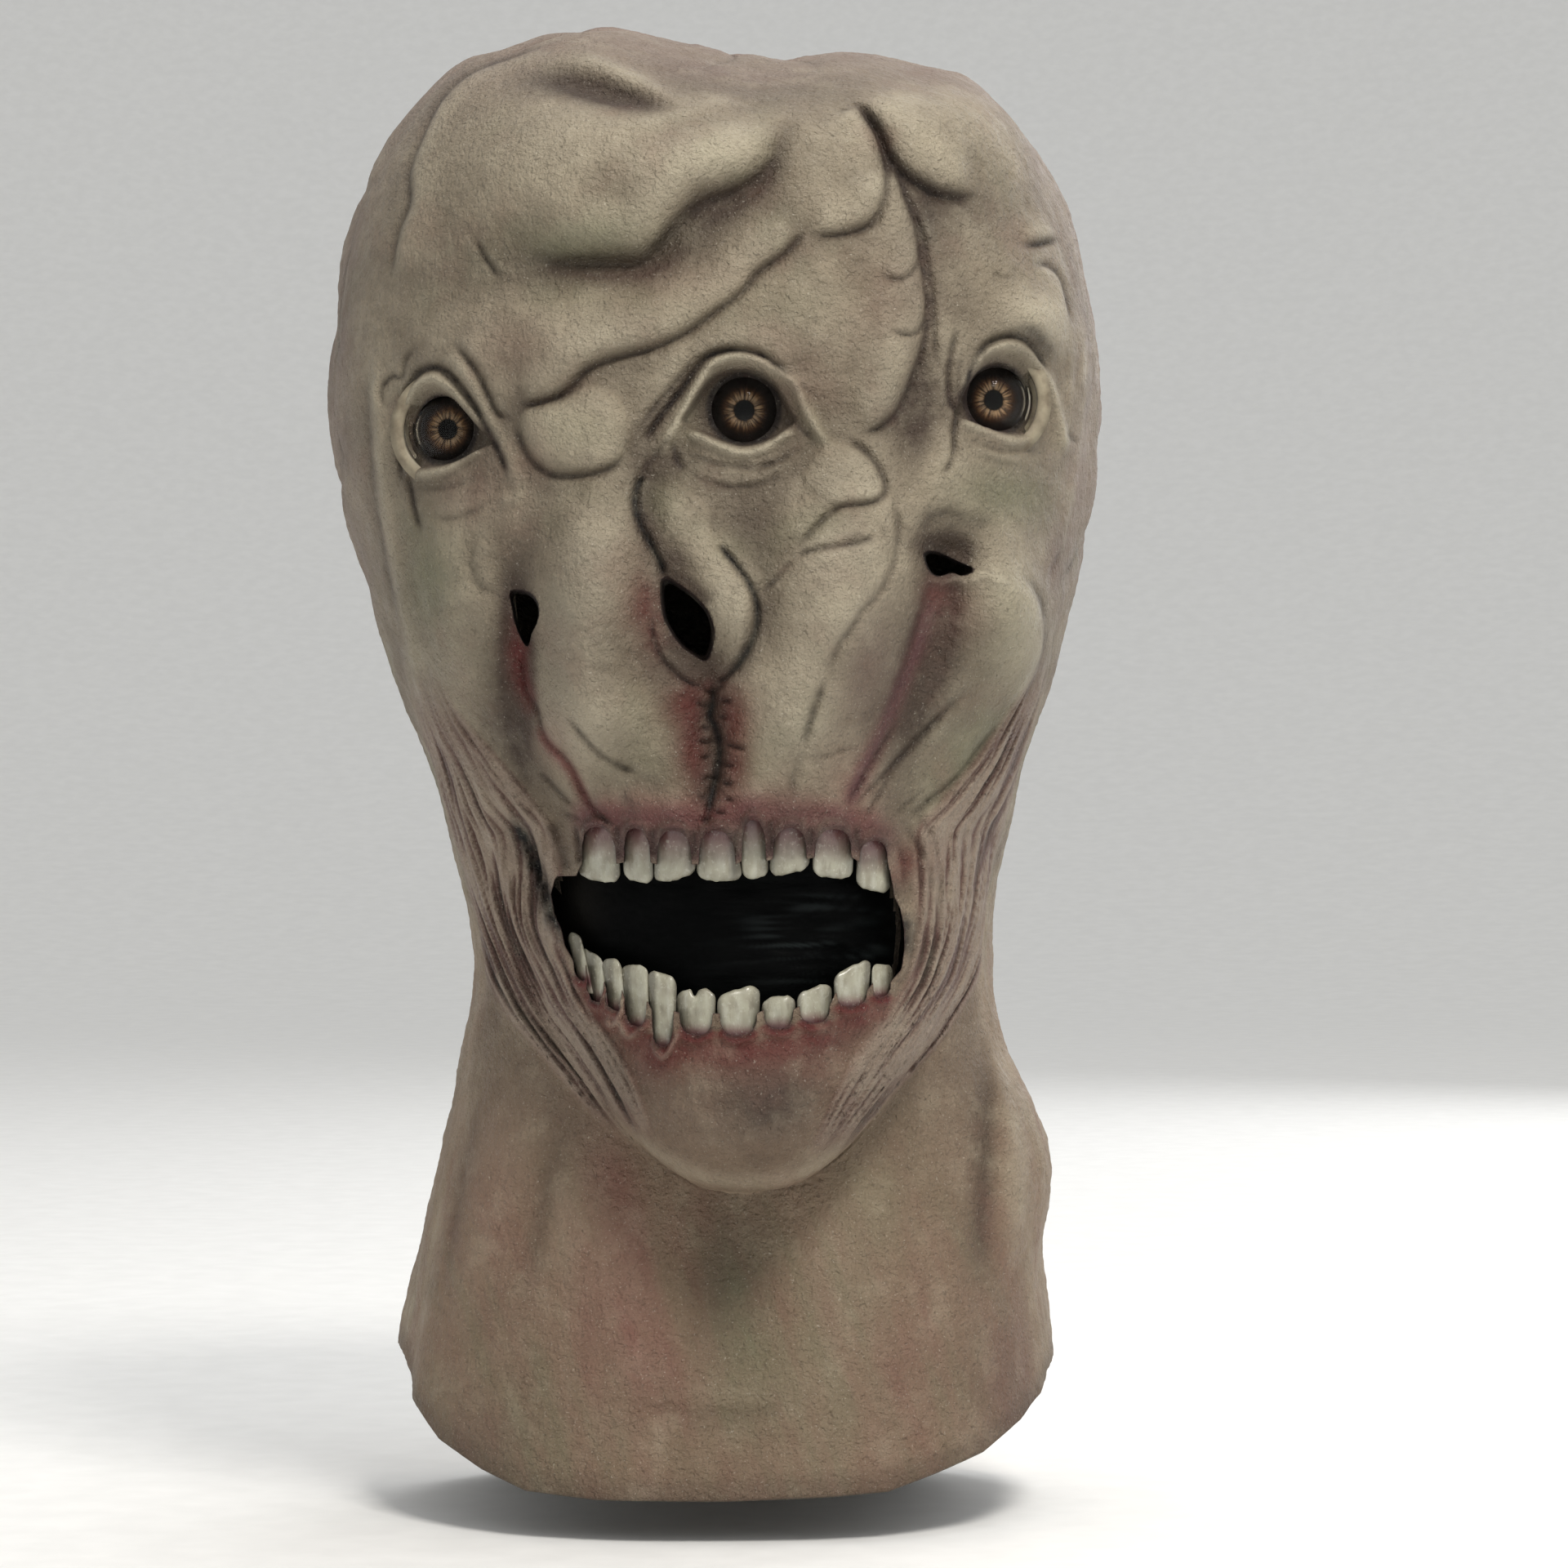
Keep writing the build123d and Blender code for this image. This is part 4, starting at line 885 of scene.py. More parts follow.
def paint_colours():
    """Airbrushed areas that don't follow a crease; some darker dabs are painted shade in hollows."""
    dab("red", -21.5, 264, 4.2, 11, 0.70)
    dab("red", -18, 256, 3, 8, 0.35)
    dab("red", -8, 236, 9, 7, 0.78)
    dab("red", -7, 223, 6, 9, 0.78)
    dab("red", 4, 232, 5, 10, 0.72)
    dab("red", 3, 219, 5, 8, 0.66)
    stroke([(-4, 242), (-3.2, 236), (-3, 230), (-1.6, 224), (-1.6, 217), (-3.6, 210), (-4, 205)], "wash",
           0.8, 3.8, 6)
    stroke([(-56.6, 256), (-57, 248), (-55.4, 241), (-51.4, 235.5)], "red", 0.85, 3.2, 4)
    dab("red", -3, 208, 6, 8, 0.45)
    dab("wash", -3, 222, 5, 22, 0.35)
    stroke([(-5, 246), (-3, 238), (-1, 226), (-1, 215), (-4, 204)], "red", 0.85, 2.4, 6)
    dab("red", -57.5, 254, 3.0, 8, 0.60)
    stroke([(-57, 262), (-58, 254), (-57.4, 246), (-56, 240), (-52, 232)], "red", 0.55, 2.6, 5)
    stroke([(-52, 232), (-48, 226), (-42, 219), (-37, 209), (-31, 203)], "pink", 0.85, 1.8, 5)
    dab("pink", -46, 228, 6, 8, 0.30)
    stroke([(61, 272), (58.5, 264), (56, 256), (53, 248), (50, 241), (47, 233), (42, 224), (37, 214),
            (33, 205)],
           "pink", 0.50, 2.8, 5)
    stroke([(60, 268), (56, 254), (50, 241), (44, 228), (38, 216), (34, 206)], "plum", 0.80, 2.2, 8)
    dab("pink", 66, 262, 8, 8, 0.30)
    dab("wash", 67, 258, 9, 10, 0.25)
    dab("pink", 36, 214, 8, 10, 0.35)
    dab("pink", 60, 268, 5, 5, 0.30)
    dab("pink", 44, 350, 13, 13, 0.22)
    dab("pink", -58, 336, 12, 9, 0.20)
    dab("pink", 24, 326, 9, 10, 0.22)
    dab("pink", -70, 296, 9, 7, 0.25)
    dab("pink", -12, 352, 26, 8, 0.14)
    dab("plum", 40, 246, 7, 16, 0.35, tilt=-14)
    dab("khaki", 68, 222, 9, 18, 0.55, tilt=-35)
    dab("khaki", 78, 258, 8, 14, 0.30)
    dab("khaki", 80, 296, 16, 8, 0.55)
    dab("khaki", -82, 272, 9, 14, 0.55)
    dab("khaki", -36, 366, 18, 7, 0.45)
    dab("khaki", -20, 346, 26, 6, 0.18)
    dab("khaki", -40, 312, 12, 6, 0.25)
    dab("khaki", -16, 292, 6, 7, 0.30)
    dab("khaki", 20, 348, 20, 8, 0.20)
    # Painted shade in the hollow above the right nostril.
    dab("wash", 62.5, 280.5, 8, 3.2, 0.85, tilt=-8)
    dab("ink", 60, 279.5, 4.5, 2.0, 0.6, tilt=-8)
    dab("wash", 86, 340, 9, 4.5, 0.45, tilt=-20)
    dab("wash", 14, 384, 4, 10, 0.2, tilt=-30)
    dab("wash", -77, 297, 12, 5, 0.28)
    dab("wash", 8, 299.5, 14, 3.4, 0.22)
    dab("wash", 24, 330, 8, 6, 0.20)
    dab("wash", 44, 318, 9, 4, 0.28, tilt=35)
    dab("wash", -12, 276, 4.5, 3.0, 0.85, tilt=-35)
    stroke([(-16.5, 272), (-11, 271), (-6.5, 267.5), (-3, 263)], "wash", 0.9, 2.2, 3)
    dab("wash", 18, 208, 9, 5, 0.35)
    dab("wash", 13, 125, 11, 9, 0.60)
    dab("ink", 12, 125, 9, 7, 0.40)
    stroke([(-22.4, 292), (-20.4, 284.5), (-17.6, 279), (-15.6, 272)], "wash", 0.75, 2.6, 5)
    stroke([(9.4, 266), (9.9, 260), (8.4, 254), (5, 248), (1, 244)], "wash", 0.6, 2.6, 5)
    dab("wash", -15, 274, 4.5, 4.5, 0.7)
    dab("wash", -8, 246, 8, 3.4, 0.55, tilt=-20)
    dab("ink", 57, 372, 2.2, 10, 0.35, tilt=-4)
    dab("wash", 52, 362, 9, 22, 0.28)
    dab("wash", -86, 336, 12, 5, 0.35, tilt=20)
    dab("wash", -22, 312, 4, 9, 0.45, tilt=-30)
    dab("wash", 9, 110, 5, 3, 0.30)
    for tooth in UPPER_TEETH:
        dab("plum", 0.5 * (tooth[0] + tooth[1]), tooth[4] + 2.5, 6, 3.8, 0.60)
        dab("red", 0.5 * (tooth[0] + tooth[1]), tooth[4] + 2.0, 5.5, 3.4, 0.30)
    stroke([(-44, 205), (-30, 207), (-14, 206.5), (4, 207.5), (22, 207), (36, 205.5), (46, 202)], "pink",
           0.7, 4.5, 6)
    dab("red", 52, 193, 4.5, 5, 0.65)
    dab("red", 49, 189, 3, 4, 0.45)
    dab("wash", -34, 262, 16, 26, 0.42)
    dab("wash", 52, 236, 16, 26, 0.30, tilt=-30)
    dab("wash", 24, 262, 12, 22, 0.16)
    dab("wash", -70, 250, 12, 24, 0.22)
    dab("wash", 4, 128, 34, 16, 0.30)
    dab("red", 4, 126, 34, 12, 0.22)
    dab("red", 4, 139.5, 26, 3.4, 0.80)
    dab("red", 12, 136, 22, 5, 0.50)
    dab("wash", 14, 129, 12, 8, 0.40)
    dab("red", 30, 143.5, 10, 3.0, 0.50)
    dab("red", 2, 134, 30, 5, 0.25)
    dab("pink", 40, 150, 8, 5, 0.40)
    dab("pink", -20, 138, 6, 6, 0.45)
    dab("pink", -34, 60, 12, 22, 0.40, tilt=12)
    dab("pink", -27, 84, 9, 14, 0.45, tilt=14)
    dab("pink", -32, 102, 7, 12, 0.45, tilt=20)
    dab("pink", -18, 50, 9, 20, 0.42, tilt=16)
    dab("pink", 52, 50, 9, 26, 0.22, tilt=-6)
    dab("pink", -66, 96, 10, 22, 0.20)
    dab("khaki", 10, 52, 22, 30, 0.40)
    dab("khaki", -58, 28, 18, 18, 0.35)
    dab("khaki", 44, 96, 12, 18, 0.30)
    dab("plum", -70, 26, 14, 10, 0.25)
    dab("plum", 84, 40, 12, 24, 0.35)
    dab("plum", 0, 424, 26, 6, 0.30)
    ends = ([(-49.5, 188), (-49.6, 182), (-47.2, 176), (-44.4, 171), (-42, 166)],
            [(50, 180), (51.2, 172), (50.4, 164)])
    for path in ends:
        stroke(path, "black", 0.9, 2.4, 5)
    dab("black", 46.5, 184, 4, 3, 0.5)


def paint_neck_streaks():
    """Dry-brush streaks that run down the neck and the bib."""
    X, Z = relief.X, relief.Z
    low = smoothstep(118, 70, Z)
    streaks = cloud((X + 0.35 * Z) / 7.0, (Z - 0.35 * X) / 42.0, 61, 3)
    paint["khaki"].value += 0.30 * low * np.clip(streaks, 0, 1)
    paint["pink"].value += 0.22 * low * np.clip(-streaks - 0.1, 0, 1)


def paint_lids():
    """Painted highlight: paler paint along the tops of the rolls of the lids."""
    for roll in ([(-88, 303), (-91, 308), (-91, 319), (-87.5, 326), (-82, 328.6), (-76.5, 325.5),
                  (-71, 319)],
                 [(-89, 302.3), (-84, 302.2), (-78, 303), (-72, 306)],
                 [(-15, 310), (-11.5, 316), (-7.4, 323.5), (-2.5, 330.3), (4, 332.4), (10, 331.3),
                  (16, 328)],
                 [(-11, 312), (-5, 309.8), (0.5, 307.4), (6, 306), (12, 307.5), (17, 310.8), (21, 312.5)],
                 [(69.2, 329.5), (72.5, 335), (77, 337.6), (82.5, 337.6), (88, 334.4), (92.5, 329.4),
                  (95.3, 322)],
                 [(65.5, 316.5), (70, 315.2), (75, 313.6), (80, 312), (85.5, 312)]):
        stroke(roll, "pale", 0.28, 1.3, 5)


def sculpt():
    sculpt_masses()
    sculpt_forehead()
    sculpt_head_side()
    sculpt_left_eye()
    sculpt_center_eye()
    sculpt_right_eye()
    sculpt_noses()
    sculpt_right_nose()
    sculpt_lower_face()
    sculpt_strands()
    sculpt_gums()
    sculpt_chin_and_neck()
    texture_of_skin()
    paint_colours()
    paint_lids()
    paint_neck_streaks()


# ---------------------------------------------------------------------------
# The plain head that the relief is laid on
# ---------------------------------------------------------------------------
def head_radius(theta, z):
    """Distance of the surface from the head's axis; theta 0 is the front, positive to the right."""
    left, right, front, back = (monotone(z, BODY[:, 0], BODY[:, i]) for i in (1, 2, 3, 4))
    s, c = np.sin(theta), np.cos(theta)
    across = np.where(s > 0, right, left)
    along = np.where(c > 0, front + HEAD_CENTRE_Y, back - HEAD_CENTRE_Y)
    n = BACK_SQUARENESS + (FRONT_SQUARENESS - BACK_SQUARENESS) * (1 + c) / 2
    body = (np.abs(s / across) ** n + np.abs(c / along) ** n) ** (-1 / n)
    width, centre, reach = (monotone(z, JAW[:, 0], JAW[:, i]) for i in (1, 2, 3))
    ox, oy = -JAW_CENTRE_X, HEAD_CENTRE_Y - centre
    a = (s / width) ** 2 + (c / reach) ** 2
    b = 2 * (s * ox / width ** 2 - c * oy / reach ** 2)
    d = b * b - 4 * a * ((ox / width) ** 2 + (oy / reach) ** 2 - 1)
    hit = (d > 0) & (c > 0) & (z > JAW_LOWEST) & (z < JAW_TOP)
    jaw = np.where(hit, (-b + np.sqrt(np.maximum(d, 0))) / (2 * a), 0)
    return 0.5 * (body + jaw + np.sqrt((body - jaw) ** 2 + JAW_BLEND ** 2))


def head_point(theta, z):
    r = head_radius(theta, z)
    return r * np.sin(theta), HEAD_CENTRE_Y - r * np.cos(theta), z


def front_depth(x, z):
    """Depth of the plain head's front surface at a place seen from the front."""
    low, high = np.full(np.shape(x), -1.45), np.full(np.shape(x), 1.45)
    for _ in range(34):
        middle = 0.5 * (low + high)
        big = head_radius(middle, z) * np.sin(middle) > x
        low, high = np.where(big, low, middle), np.where(big, middle, high)
    middle = 0.5 * (low + high)
    return HEAD_CENTRE_Y - head_radius(middle, z) * np.cos(middle)


def hem_height(theta):
    """Height of the trim line at each angle."""
    z = np.full(theta.shape, 10.0)
    for _ in range(HEM_PASSES):
        x, y, _ = head_point(theta, z)
        wanted = np.interp(x, HEM_LINE[:, 0], HEM_LINE[:, 1]) + HEM_RISE_TO_FRONT * (HEM_BACK_Y - y)
        z = mix(z, wanted, 0.35)
    return z


def column_angles(scale):
    """Angles of the mesh's columns: close together over the face, wider apart behind."""
    steps = [math.radians(v * scale) for v in (0.355, 0.71, 1.65)]
    angles = [0.0]
    while angles[-1] < math.pi:
        a = angles[-1]
        angles.append(a + (steps[0] if a < 1.30 else steps[1] if a < 2.0 else steps[2]))
    half = np.array(angles[:-1])
    return np.concatenate([-half[:0:-1], half])


def row_heights(scale):
    """Heights of the mesh's rows, evenly spaced along the head's front and side profiles."""
    z = np.linspace(0, BODY[-1, 0], 20001)
    front, side = head_radius(np.zeros(z.shape), z), head_radius(np.full(z.shape, 1.57), z)
    slope = np.maximum(np.abs(np.gradient(front, z)), np.abs(np.gradient(side, z)))
    pitch = scale * np.interp(z, [0, 95, 130, 350, 420, 438], [1.3, 0.8, 0.64, 0.66, 0.95, 1.25])
    density = np.sqrt(1 + slope ** 2) / pitch
    run = np.concatenate([[0], np.cumsum(0.5 * (density[1:] + density[:-1]) * np.diff(z))])
    return np.interp(np.arange(0, run[-1], 1.0), run, z)


def all_round(make, base, normal, scale, *rest):
    """A flat pattern laid on from the side, the front and the top, blended by where the surface faces."""
    weights = np.abs(normal) ** 3 + 1e-6
    weights /= weights.sum(-1, keepdims=True)
    x, y, z = (base[..., i] / scale for i in range(3))
    return (weights[..., 0] * make(y + 37 * np.sign(normal[..., 0]), z, *rest)
            + weights[..., 1] * make(x + 19 * np.sign(normal[..., 1]), z, *rest)
            + weights[..., 2] * make(x, y, *rest))


def lobes(u, v, seed):
    """Signed noise whose zero line is the crease between swollen lobes."""
    u, v = u + 0.30 * noise(u * 1.3, v * 1.3, seed + 5), v + 0.30 * noise(u * 1.3 + 9, v * 1.3, seed + 6)
    return noise(0.8 * u + 0.6 * v, 0.8 * v - 0.6 * u, seed) + 0.35 * noise(u * 1.9, v * 1.9, seed + 1)


def side_relief(base, normal, theta):
    """Soft lobes, folds and creases of the head where it isn't seen from the front, with how much painted
    shade its furrows and fold troughs get.
    """
    z = base[..., 2]
    height = 1.2 * all_round(cloud, base, normal, 42, 71, 2)
    height += 0.30 * all_round(cloud, base, normal, 7, 74, 3)
    height += 0.12 * all_round(cloud, base, normal, 2.2, 75, 2)
    swell = all_round(lobes, base, normal, 66, 82)
    upper = smoothstep(215, 285, z)
    furrow = np.exp(-(swell / 0.06) ** 2) * upper
    height += upper * (5.0 * np.sqrt(np.abs(swell) + 0.004) - 2.2)
    nape = smoothstep(1.7, 2.4, np.abs(theta)) * smoothstep(100, 118, z) * smoothstep(200, 170, z)
    folds = np.sin((z + 6 * noise(base[..., 0] / 40, z / 60, 91)) / 3.4)
    height += 0.8 * nape * folds
    drape = smoothstep(120, 50, z)
    height += 2.2 * drape * all_round(noise, base * [1, 1, 0.25], normal, 26, 93)
    return height, furrow + 0.4 * nape * np.clip(-folds, 0, 1)


def top_profile(x, z):
    """How far the crown is lowered at each place; it leaves two humps as seen from the front."""
    near_top = smoothstep(392, 434, z)
    dip = np.exp(-((x - 15) / 17) ** 2)
    right = np.exp(-((x - 40) / 20) ** 2)
    hump = np.exp(-((x + 42) / 20) ** 2)
    shoulder = np.exp(-((x + 12) / 22) ** 2)
    far_right = np.exp(-((x - 56) / 14) ** 2)
    corner = np.exp(-((x + 80) / 12) ** 2)
    return near_top * (7.0 * dip + 3.6 * right - 2.6 * hump + 5.4 * shoulder
                       + 3.0 * far_right - 3.5 * corner)


def skin_grid(scale):
    """Displaced skin as arrays of angle by height, with what the paint needs."""
    theta = column_angles(scale)
    rows = row_heights(scale)
    T = np.repeat(theta[:, None], len(rows), 1)
    Z = np.repeat(rows[None, :], len(theta), 0)
    hem = hem_height(theta)[:, None]
    Z = np.where(Z < HEM_REACH, hem + Z * (HEM_REACH - hem) / HEM_REACH, Z)
    X, Y, _ = head_point(T, Z)
    base = np.stack([X, Y, Z], -1)
    along_theta = np.roll(base, -1, 0) - np.roll(base, 1, 0)
    along_z = np.gradient(base, axis=1)
    normal = np.cross(along_theta, along_z)
    normal /= np.maximum(np.linalg.norm(normal, axis=-1, keepdims=True), 1e-9)
    facing = -normal[..., 1]
    face = smoothstep(0.06, 0.36, facing) * smoothstep(-20, -34, Y)
    height = relief.sample(X, Z)
    side, furrow = side_relief(base, normal, T)
    top = smoothstep(416, 434, Z)
    face = face * (1 - 0.6 * top)
    direction = normal + np.array([0.0, -2.5, 0.0]) * face[..., None]
    direction /= np.linalg.norm(direction, axis=-1, keepdims=True)
    moved = base + direction * (height * face)[..., None]
    moved += normal * (side * (1 - face))[..., None]
    moved[..., 2] -= top_profile(moved[..., 0], moved[..., 2])
    return {"theta": T, "base": base, "moved": moved, "normal": normal, "face": face, "furrow": furrow}


# ---------------------------------------------------------------------------
# Eye sockets
# ---------------------------------------------------------------------------
APERTURES = {
    "left": [(-87.8, 304.2), (-88.2, 310), (-87.6, 316), (-85.6, 321.4), (-81.8, 324.2), (-77.6, 323.4),
             (-73.4, 319.6), (-70, 315.6), (-66.6, 311.8), (-64.6, 310.2), (-67, 308.9), (-71, 307),
             (-76, 304.9), (-82, 303.9)],
    "center": [(-11.2, 315), (-9, 318.6), (-6.6, 322.2), (-3.8, 326), (0.4, 328.6), (5.4, 329.3),
               (10.4, 328.3),
               (14.2, 325.4), (17, 321.4), (19, 317.8), (20.4, 314.8), (17.4, 312.3), (12.4, 309.4),
               (6, 308),
               (0, 309.3), (-5.4, 311.7), (-9.4, 313.3)],
    "right": [(65.6, 318), (67, 321.4), (69, 325.6), (71.2, 329.4), (74.4, 332.4), (78.4, 333.4),
              (82.4, 332.4),
              (86, 330), (89, 326), (90.8, 321.4), (91, 317.8), (88.6, 315), (84.8, 313.8), (80, 313.7),
              (75, 314.8), (70, 316.4)],
}
SOCKET_DEPTH = -5.6        # where the skin meets the dome, along the eye's axis
SOCKET_SLOPE = 0.30        # how fast the socket rises away from the dome


def eye_frame(name):
    """Middle of an eye and its right, outward and up directions."""
    x, y, z, yaw = EYES[name]
    a = math.radians(yaw)
    return (np.array([x, y, z]), np.array([math.cos(a), math.sin(a), 0.0]),
            np.array([math.sin(a), -math.cos(a), 0.0]), np.array([0.0, 0.0, 1.0]))


def sink_sockets(grid):
    """Presses the skin inside each pair of lids back to its dome; returns distances to the nearest axis."""
    moved = grid["moved"]
    x, z = grid["base"][..., 0], grid["base"][..., 2]
    nearest_axis = np.full(x.shape, 1e9)
    for name, outline in APERTURES.items():
        path = smooth_path(outline, closed=True, step=0.6)
        low, high = path.min(0) - 8, path.max(0) + 8
        near = ((x > low[0]) & (x < high[0]) & (z > low[1]) & (z < high[1]) & (moved[..., 1] < 0))
        centre, right, out, up = eye_frame(name)
        inside = inside_distance(path, x[near], z[near])
        offset = moved[near] - centre
        w = offset @ out
        rho = np.hypot(offset @ right, offset @ up)
        target = SOCKET_DEPTH + SOCKET_SLOPE * np.clip(rho - EYE_HOLE_R, 0, 20)
        lid = smoothstep(-0.2, 1.1, inside)
        moved[near] += ((np.minimum(target, w) - w) * lid)[:, None] * out
        offset = moved[near] - centre
        axis = np.hypot(offset @ right, offset @ up)
        nearest_axis[near] = np.where(axis < nearest_axis[near], axis, nearest_axis[near])
        grid["lid_" + name] = (near, inside, axis)
    return nearest_axis


# ---------------------------------------------------------------------------
# Colours of the skin
# ---------------------------------------------------------------------------
def linear(r, g, b):
    """Linear values of a colour given as 0 to 255 display values."""
    c = np.array([r, g, b]) / 255.0
    return np.where(c <= 0.04045, c / 12.92, ((c + 0.055) / 1.055) ** 2.4)


SKIN_LIGHT = linear(178, 165, 142)
SKIN_BASE = linear(144, 132, 112)
SKIN_DEEP = linear(112, 100, 83)
SKIN_KHAKI = linear(116, 118, 90)
SKIN_MAUVE = linear(146, 129, 117)
# Dark brown of the washes, also used as painted shade in hollows, creases and sockets.
SKIN_WASH_AND_SHADE = linear(72, 58, 47)
# Near-black brown of the painted lines, also used as painted shade in gaps and on the walls of holes.
SKIN_INK_AND_SHADE = linear(36, 28, 24)
SKIN_RED = linear(98, 26, 24)
SKIN_PINK = linear(122, 68, 63)
SKIN_PLUM = linear(94, 54, 59)
# Pale tone of the paint, also used as painted highlight on raised places and ridge tops.
SKIN_PALE_AND_HIGHLIGHT = linear(206, 196, 172)
SKIN_NECK = linear(160, 135, 112)
SKIN_LOWER = linear(126, 100, 80)
SKIN_BLACK = linear(14, 12, 12)
# Dark red-brown of the painted shade inside the nostrils.
NOSTRIL_SHADE = linear(34, 15, 12)


def tint(colour, target, amount):
    return mix(colour, target, np.clip(amount, 0, 1)[..., None])


def skin_colour(grid):
    """Airbrushed colour at each vertex of the skin, with painted shade in hollows, creases, sockets and
    holes and painted highlight on raised places.
    """
    x, y, z = (grid["base"][..., i] for i in range(3))
    base, normal, face = grid["base"], grid["normal"], grid["face"]
    colour = np.broadcast_to(SKIN_BASE, x.shape + (3,)).copy()
    mottle = all_round(cloud, base, normal, 17, 101, 3)
    colour = tint(colour, SKIN_LIGHT, 0.30 + 0.25 * mottle)
    colour = tint(colour, SKIN_DEEP, 0.26 - 0.30 * mottle + 0.14 * all_round(cloud, base, normal, 5, 103, 2))
    colour = tint(colour, SKIN_KHAKI, 0.55 * np.clip(all_round(cloud, base, normal, 34, 107, 3) - 0.18, 0,
                                        0.8))
    sides = 1 - smoothstep(0.10, 0.62, -grid["normal"][..., 1] * (y < 0))
    upper = smoothstep(225, 300, z)
    colour = tint(colour, SKIN_MAUVE, sides * upper * (0.72 + 0.3 * all_round(noise, base, normal, 24, 109)))
    crown = smoothstep(392, 430, z)
    colour = tint(colour, SKIN_MAUVE, 0.55 * crown)
    colour = tint(colour, SKIN_PLUM, 0.30 * np.clip(sides * all_round(cloud, base, normal, 28, 113, 3), 0,
                                        1))
    neck = smoothstep(128, 88, z) + (1 - face) * smoothstep(205, 150, z)
    colour = tint(colour, SKIN_NECK, 0.62 * np.clip(neck, 0,
                                        1) * (0.85 + 0.3 * all_round(noise, base * [1, 1, 0.4], normal, 13,
                                        115)))
    streaks = all_round(cloud, base * [1, 1, 0.2], normal, 7, 117, 3)
    colour = tint(colour, SKIN_PALE_AND_HIGHLIGHT, 0.22 * np.clip(neck, 0, 1) * np.clip(-streaks - 0.15, 0, 1))
    colour = tint(colour, SKIN_PINK, 0.26 * np.clip(neck, 0, 1) * np.clip(streaks - 0.1, 0, 1))
    # Lower face darker towards the bottom: partly its own paint, partly painted shade.
    lower = smoothstep(235, 150, z) * face
    colour = tint(colour, SKIN_LOWER, 0.55 * lower)
    # Painted shade in hollows and beside the crease lines, and painted highlight on raised places, from the
    # relief at three scales.
    broad = relief_broad.sample(x, z) * face
    fine = relief_fine.sample(x, z) * face
    crease_side_shade = shade_beside_creases.sample(x, z) * face
    colour = tint(colour, SKIN_WASH_AND_SHADE, 0.33 * np.clip(broad, 0, 2.6)
                  + 0.17 * np.clip(relief_wide.sample(x, z) * face, 0, 4.0) + 0.22 * np.clip(fine, 0,
                                        1.4) + crease_side_shade)
    colour = tint(colour, SKIN_PALE_AND_HIGHLIGHT, 0.17 * np.clip(-broad, 0, 3.0) + 0.20 * np.clip(-fine, 0, 1.2))
    worn = {"ink": 0.78 + 0.5 * cloud(x / 4, z / 4, 121, 3),
            "black": 0.95 + 0.3 * cloud(x / 3, z / 3, 123, 2)}
    layers = (("khaki", SKIN_KHAKI), ("pink", SKIN_PINK), ("plum", SKIN_PLUM), ("red", SKIN_RED),
              ("pale", SKIN_PALE_AND_HIGHLIGHT), ("wash", SKIN_WASH_AND_SHADE), ("ink", SKIN_INK_AND_SHADE), ("black", SKIN_BLACK))
    for name, target in layers:
        amount = paint[name].sample(x, z) * face * worn.get(name, 1.0)
        colour = tint(colour, target, amount)
    # Painted shade in the furrows between the lobes and in the troughs of the nape's folds, off the face.
    colour = tint(colour, SKIN_WASH_AND_SHADE, (1 - face) * 0.5 * grid["furrow"])
    hem_edge = smoothstep(9, 1, z - hem_height(grid["theta"][:, 0])[:, None])
    colour = tint(colour, SKIN_WASH_AND_SHADE, 0.45 * hem_edge)
    for name in EYES:
        near, inside, rho = grid["lid_" + name]
        # Inside the lids: slightly paler skin, painted shade over the socket and along the lid's edge, and a
        # dark ring of painted shade where the skin meets the dome.
        wet = smoothstep(-0.6, 0.8, inside)
        line = np.exp(-((inside - 0.2) / 0.7) ** 2)
        colour[near] = tint(colour[near], SKIN_PALE_AND_HIGHLIGHT, 0.10 * wet)
        colour[near] = tint(colour[near], SKIN_WASH_AND_SHADE, 0.62 * wet * smoothstep(16, 11, rho) + 0.45 * line)
        colour[near] = tint(colour[near], SKIN_INK_AND_SHADE, smoothstep(11.2, 10.0, rho) * wet)
    return np.clip(colour * 0.84, 0, 1)


# ---------------------------------------------------------------------------
# Meshes
# ---------------------------------------------------------------------------
def make_piece(name, points, faces, material, nodes=(), colour=None, smooth=True):
    """Blender object from points in millimetres and faces of three or four corners."""
    mesh = bpy.data.meshes.new(name)
    counts = np.array([len(f) for f in faces]) if not isinstance(faces, np.ndarray) else None
    if counts is None:
        loops = faces.reshape(-1)
        counts = np.full(len(faces), faces.shape[1])
    else:
        loops = np.concatenate([np.asarray(f) for f in faces])
    mesh.vertices.add(len(points))
    mesh.vertices.foreach_set("co", (np.asarray(points) * MM).astype(np.float32).ravel())
    mesh.loops.add(len(loops))
    mesh.loops.foreach_set("vertex_index", loops.astype(np.int32))
    mesh.polygons.add(len(counts))
    mesh.polygons.foreach_set("loop_start", (np.cumsum(counts) - counts).astype(np.int32))
    mesh.update(calc_edges=True)
    mesh.validate()
    if smooth:
        mesh.polygons.foreach_set("use_smooth", [True] * len(mesh.polygons))
    if colour is not None:
        layer = mesh.color_attributes.new("Paint", "FLOAT_COLOR", "POINT")
        rgba = np.concatenate([colour, np.ones((len(colour), 1))], 1)
        layer.data.foreach_set("color", rgba.astype(np.float32).ravel())
    mesh.materials.append(material)
    piece = bpy.data.objects.new(name, mesh)
    bpy.context.scene.collection.objects.link(piece)
    if nodes:
        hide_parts(*nodes)
        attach(piece, "root")
    return piece


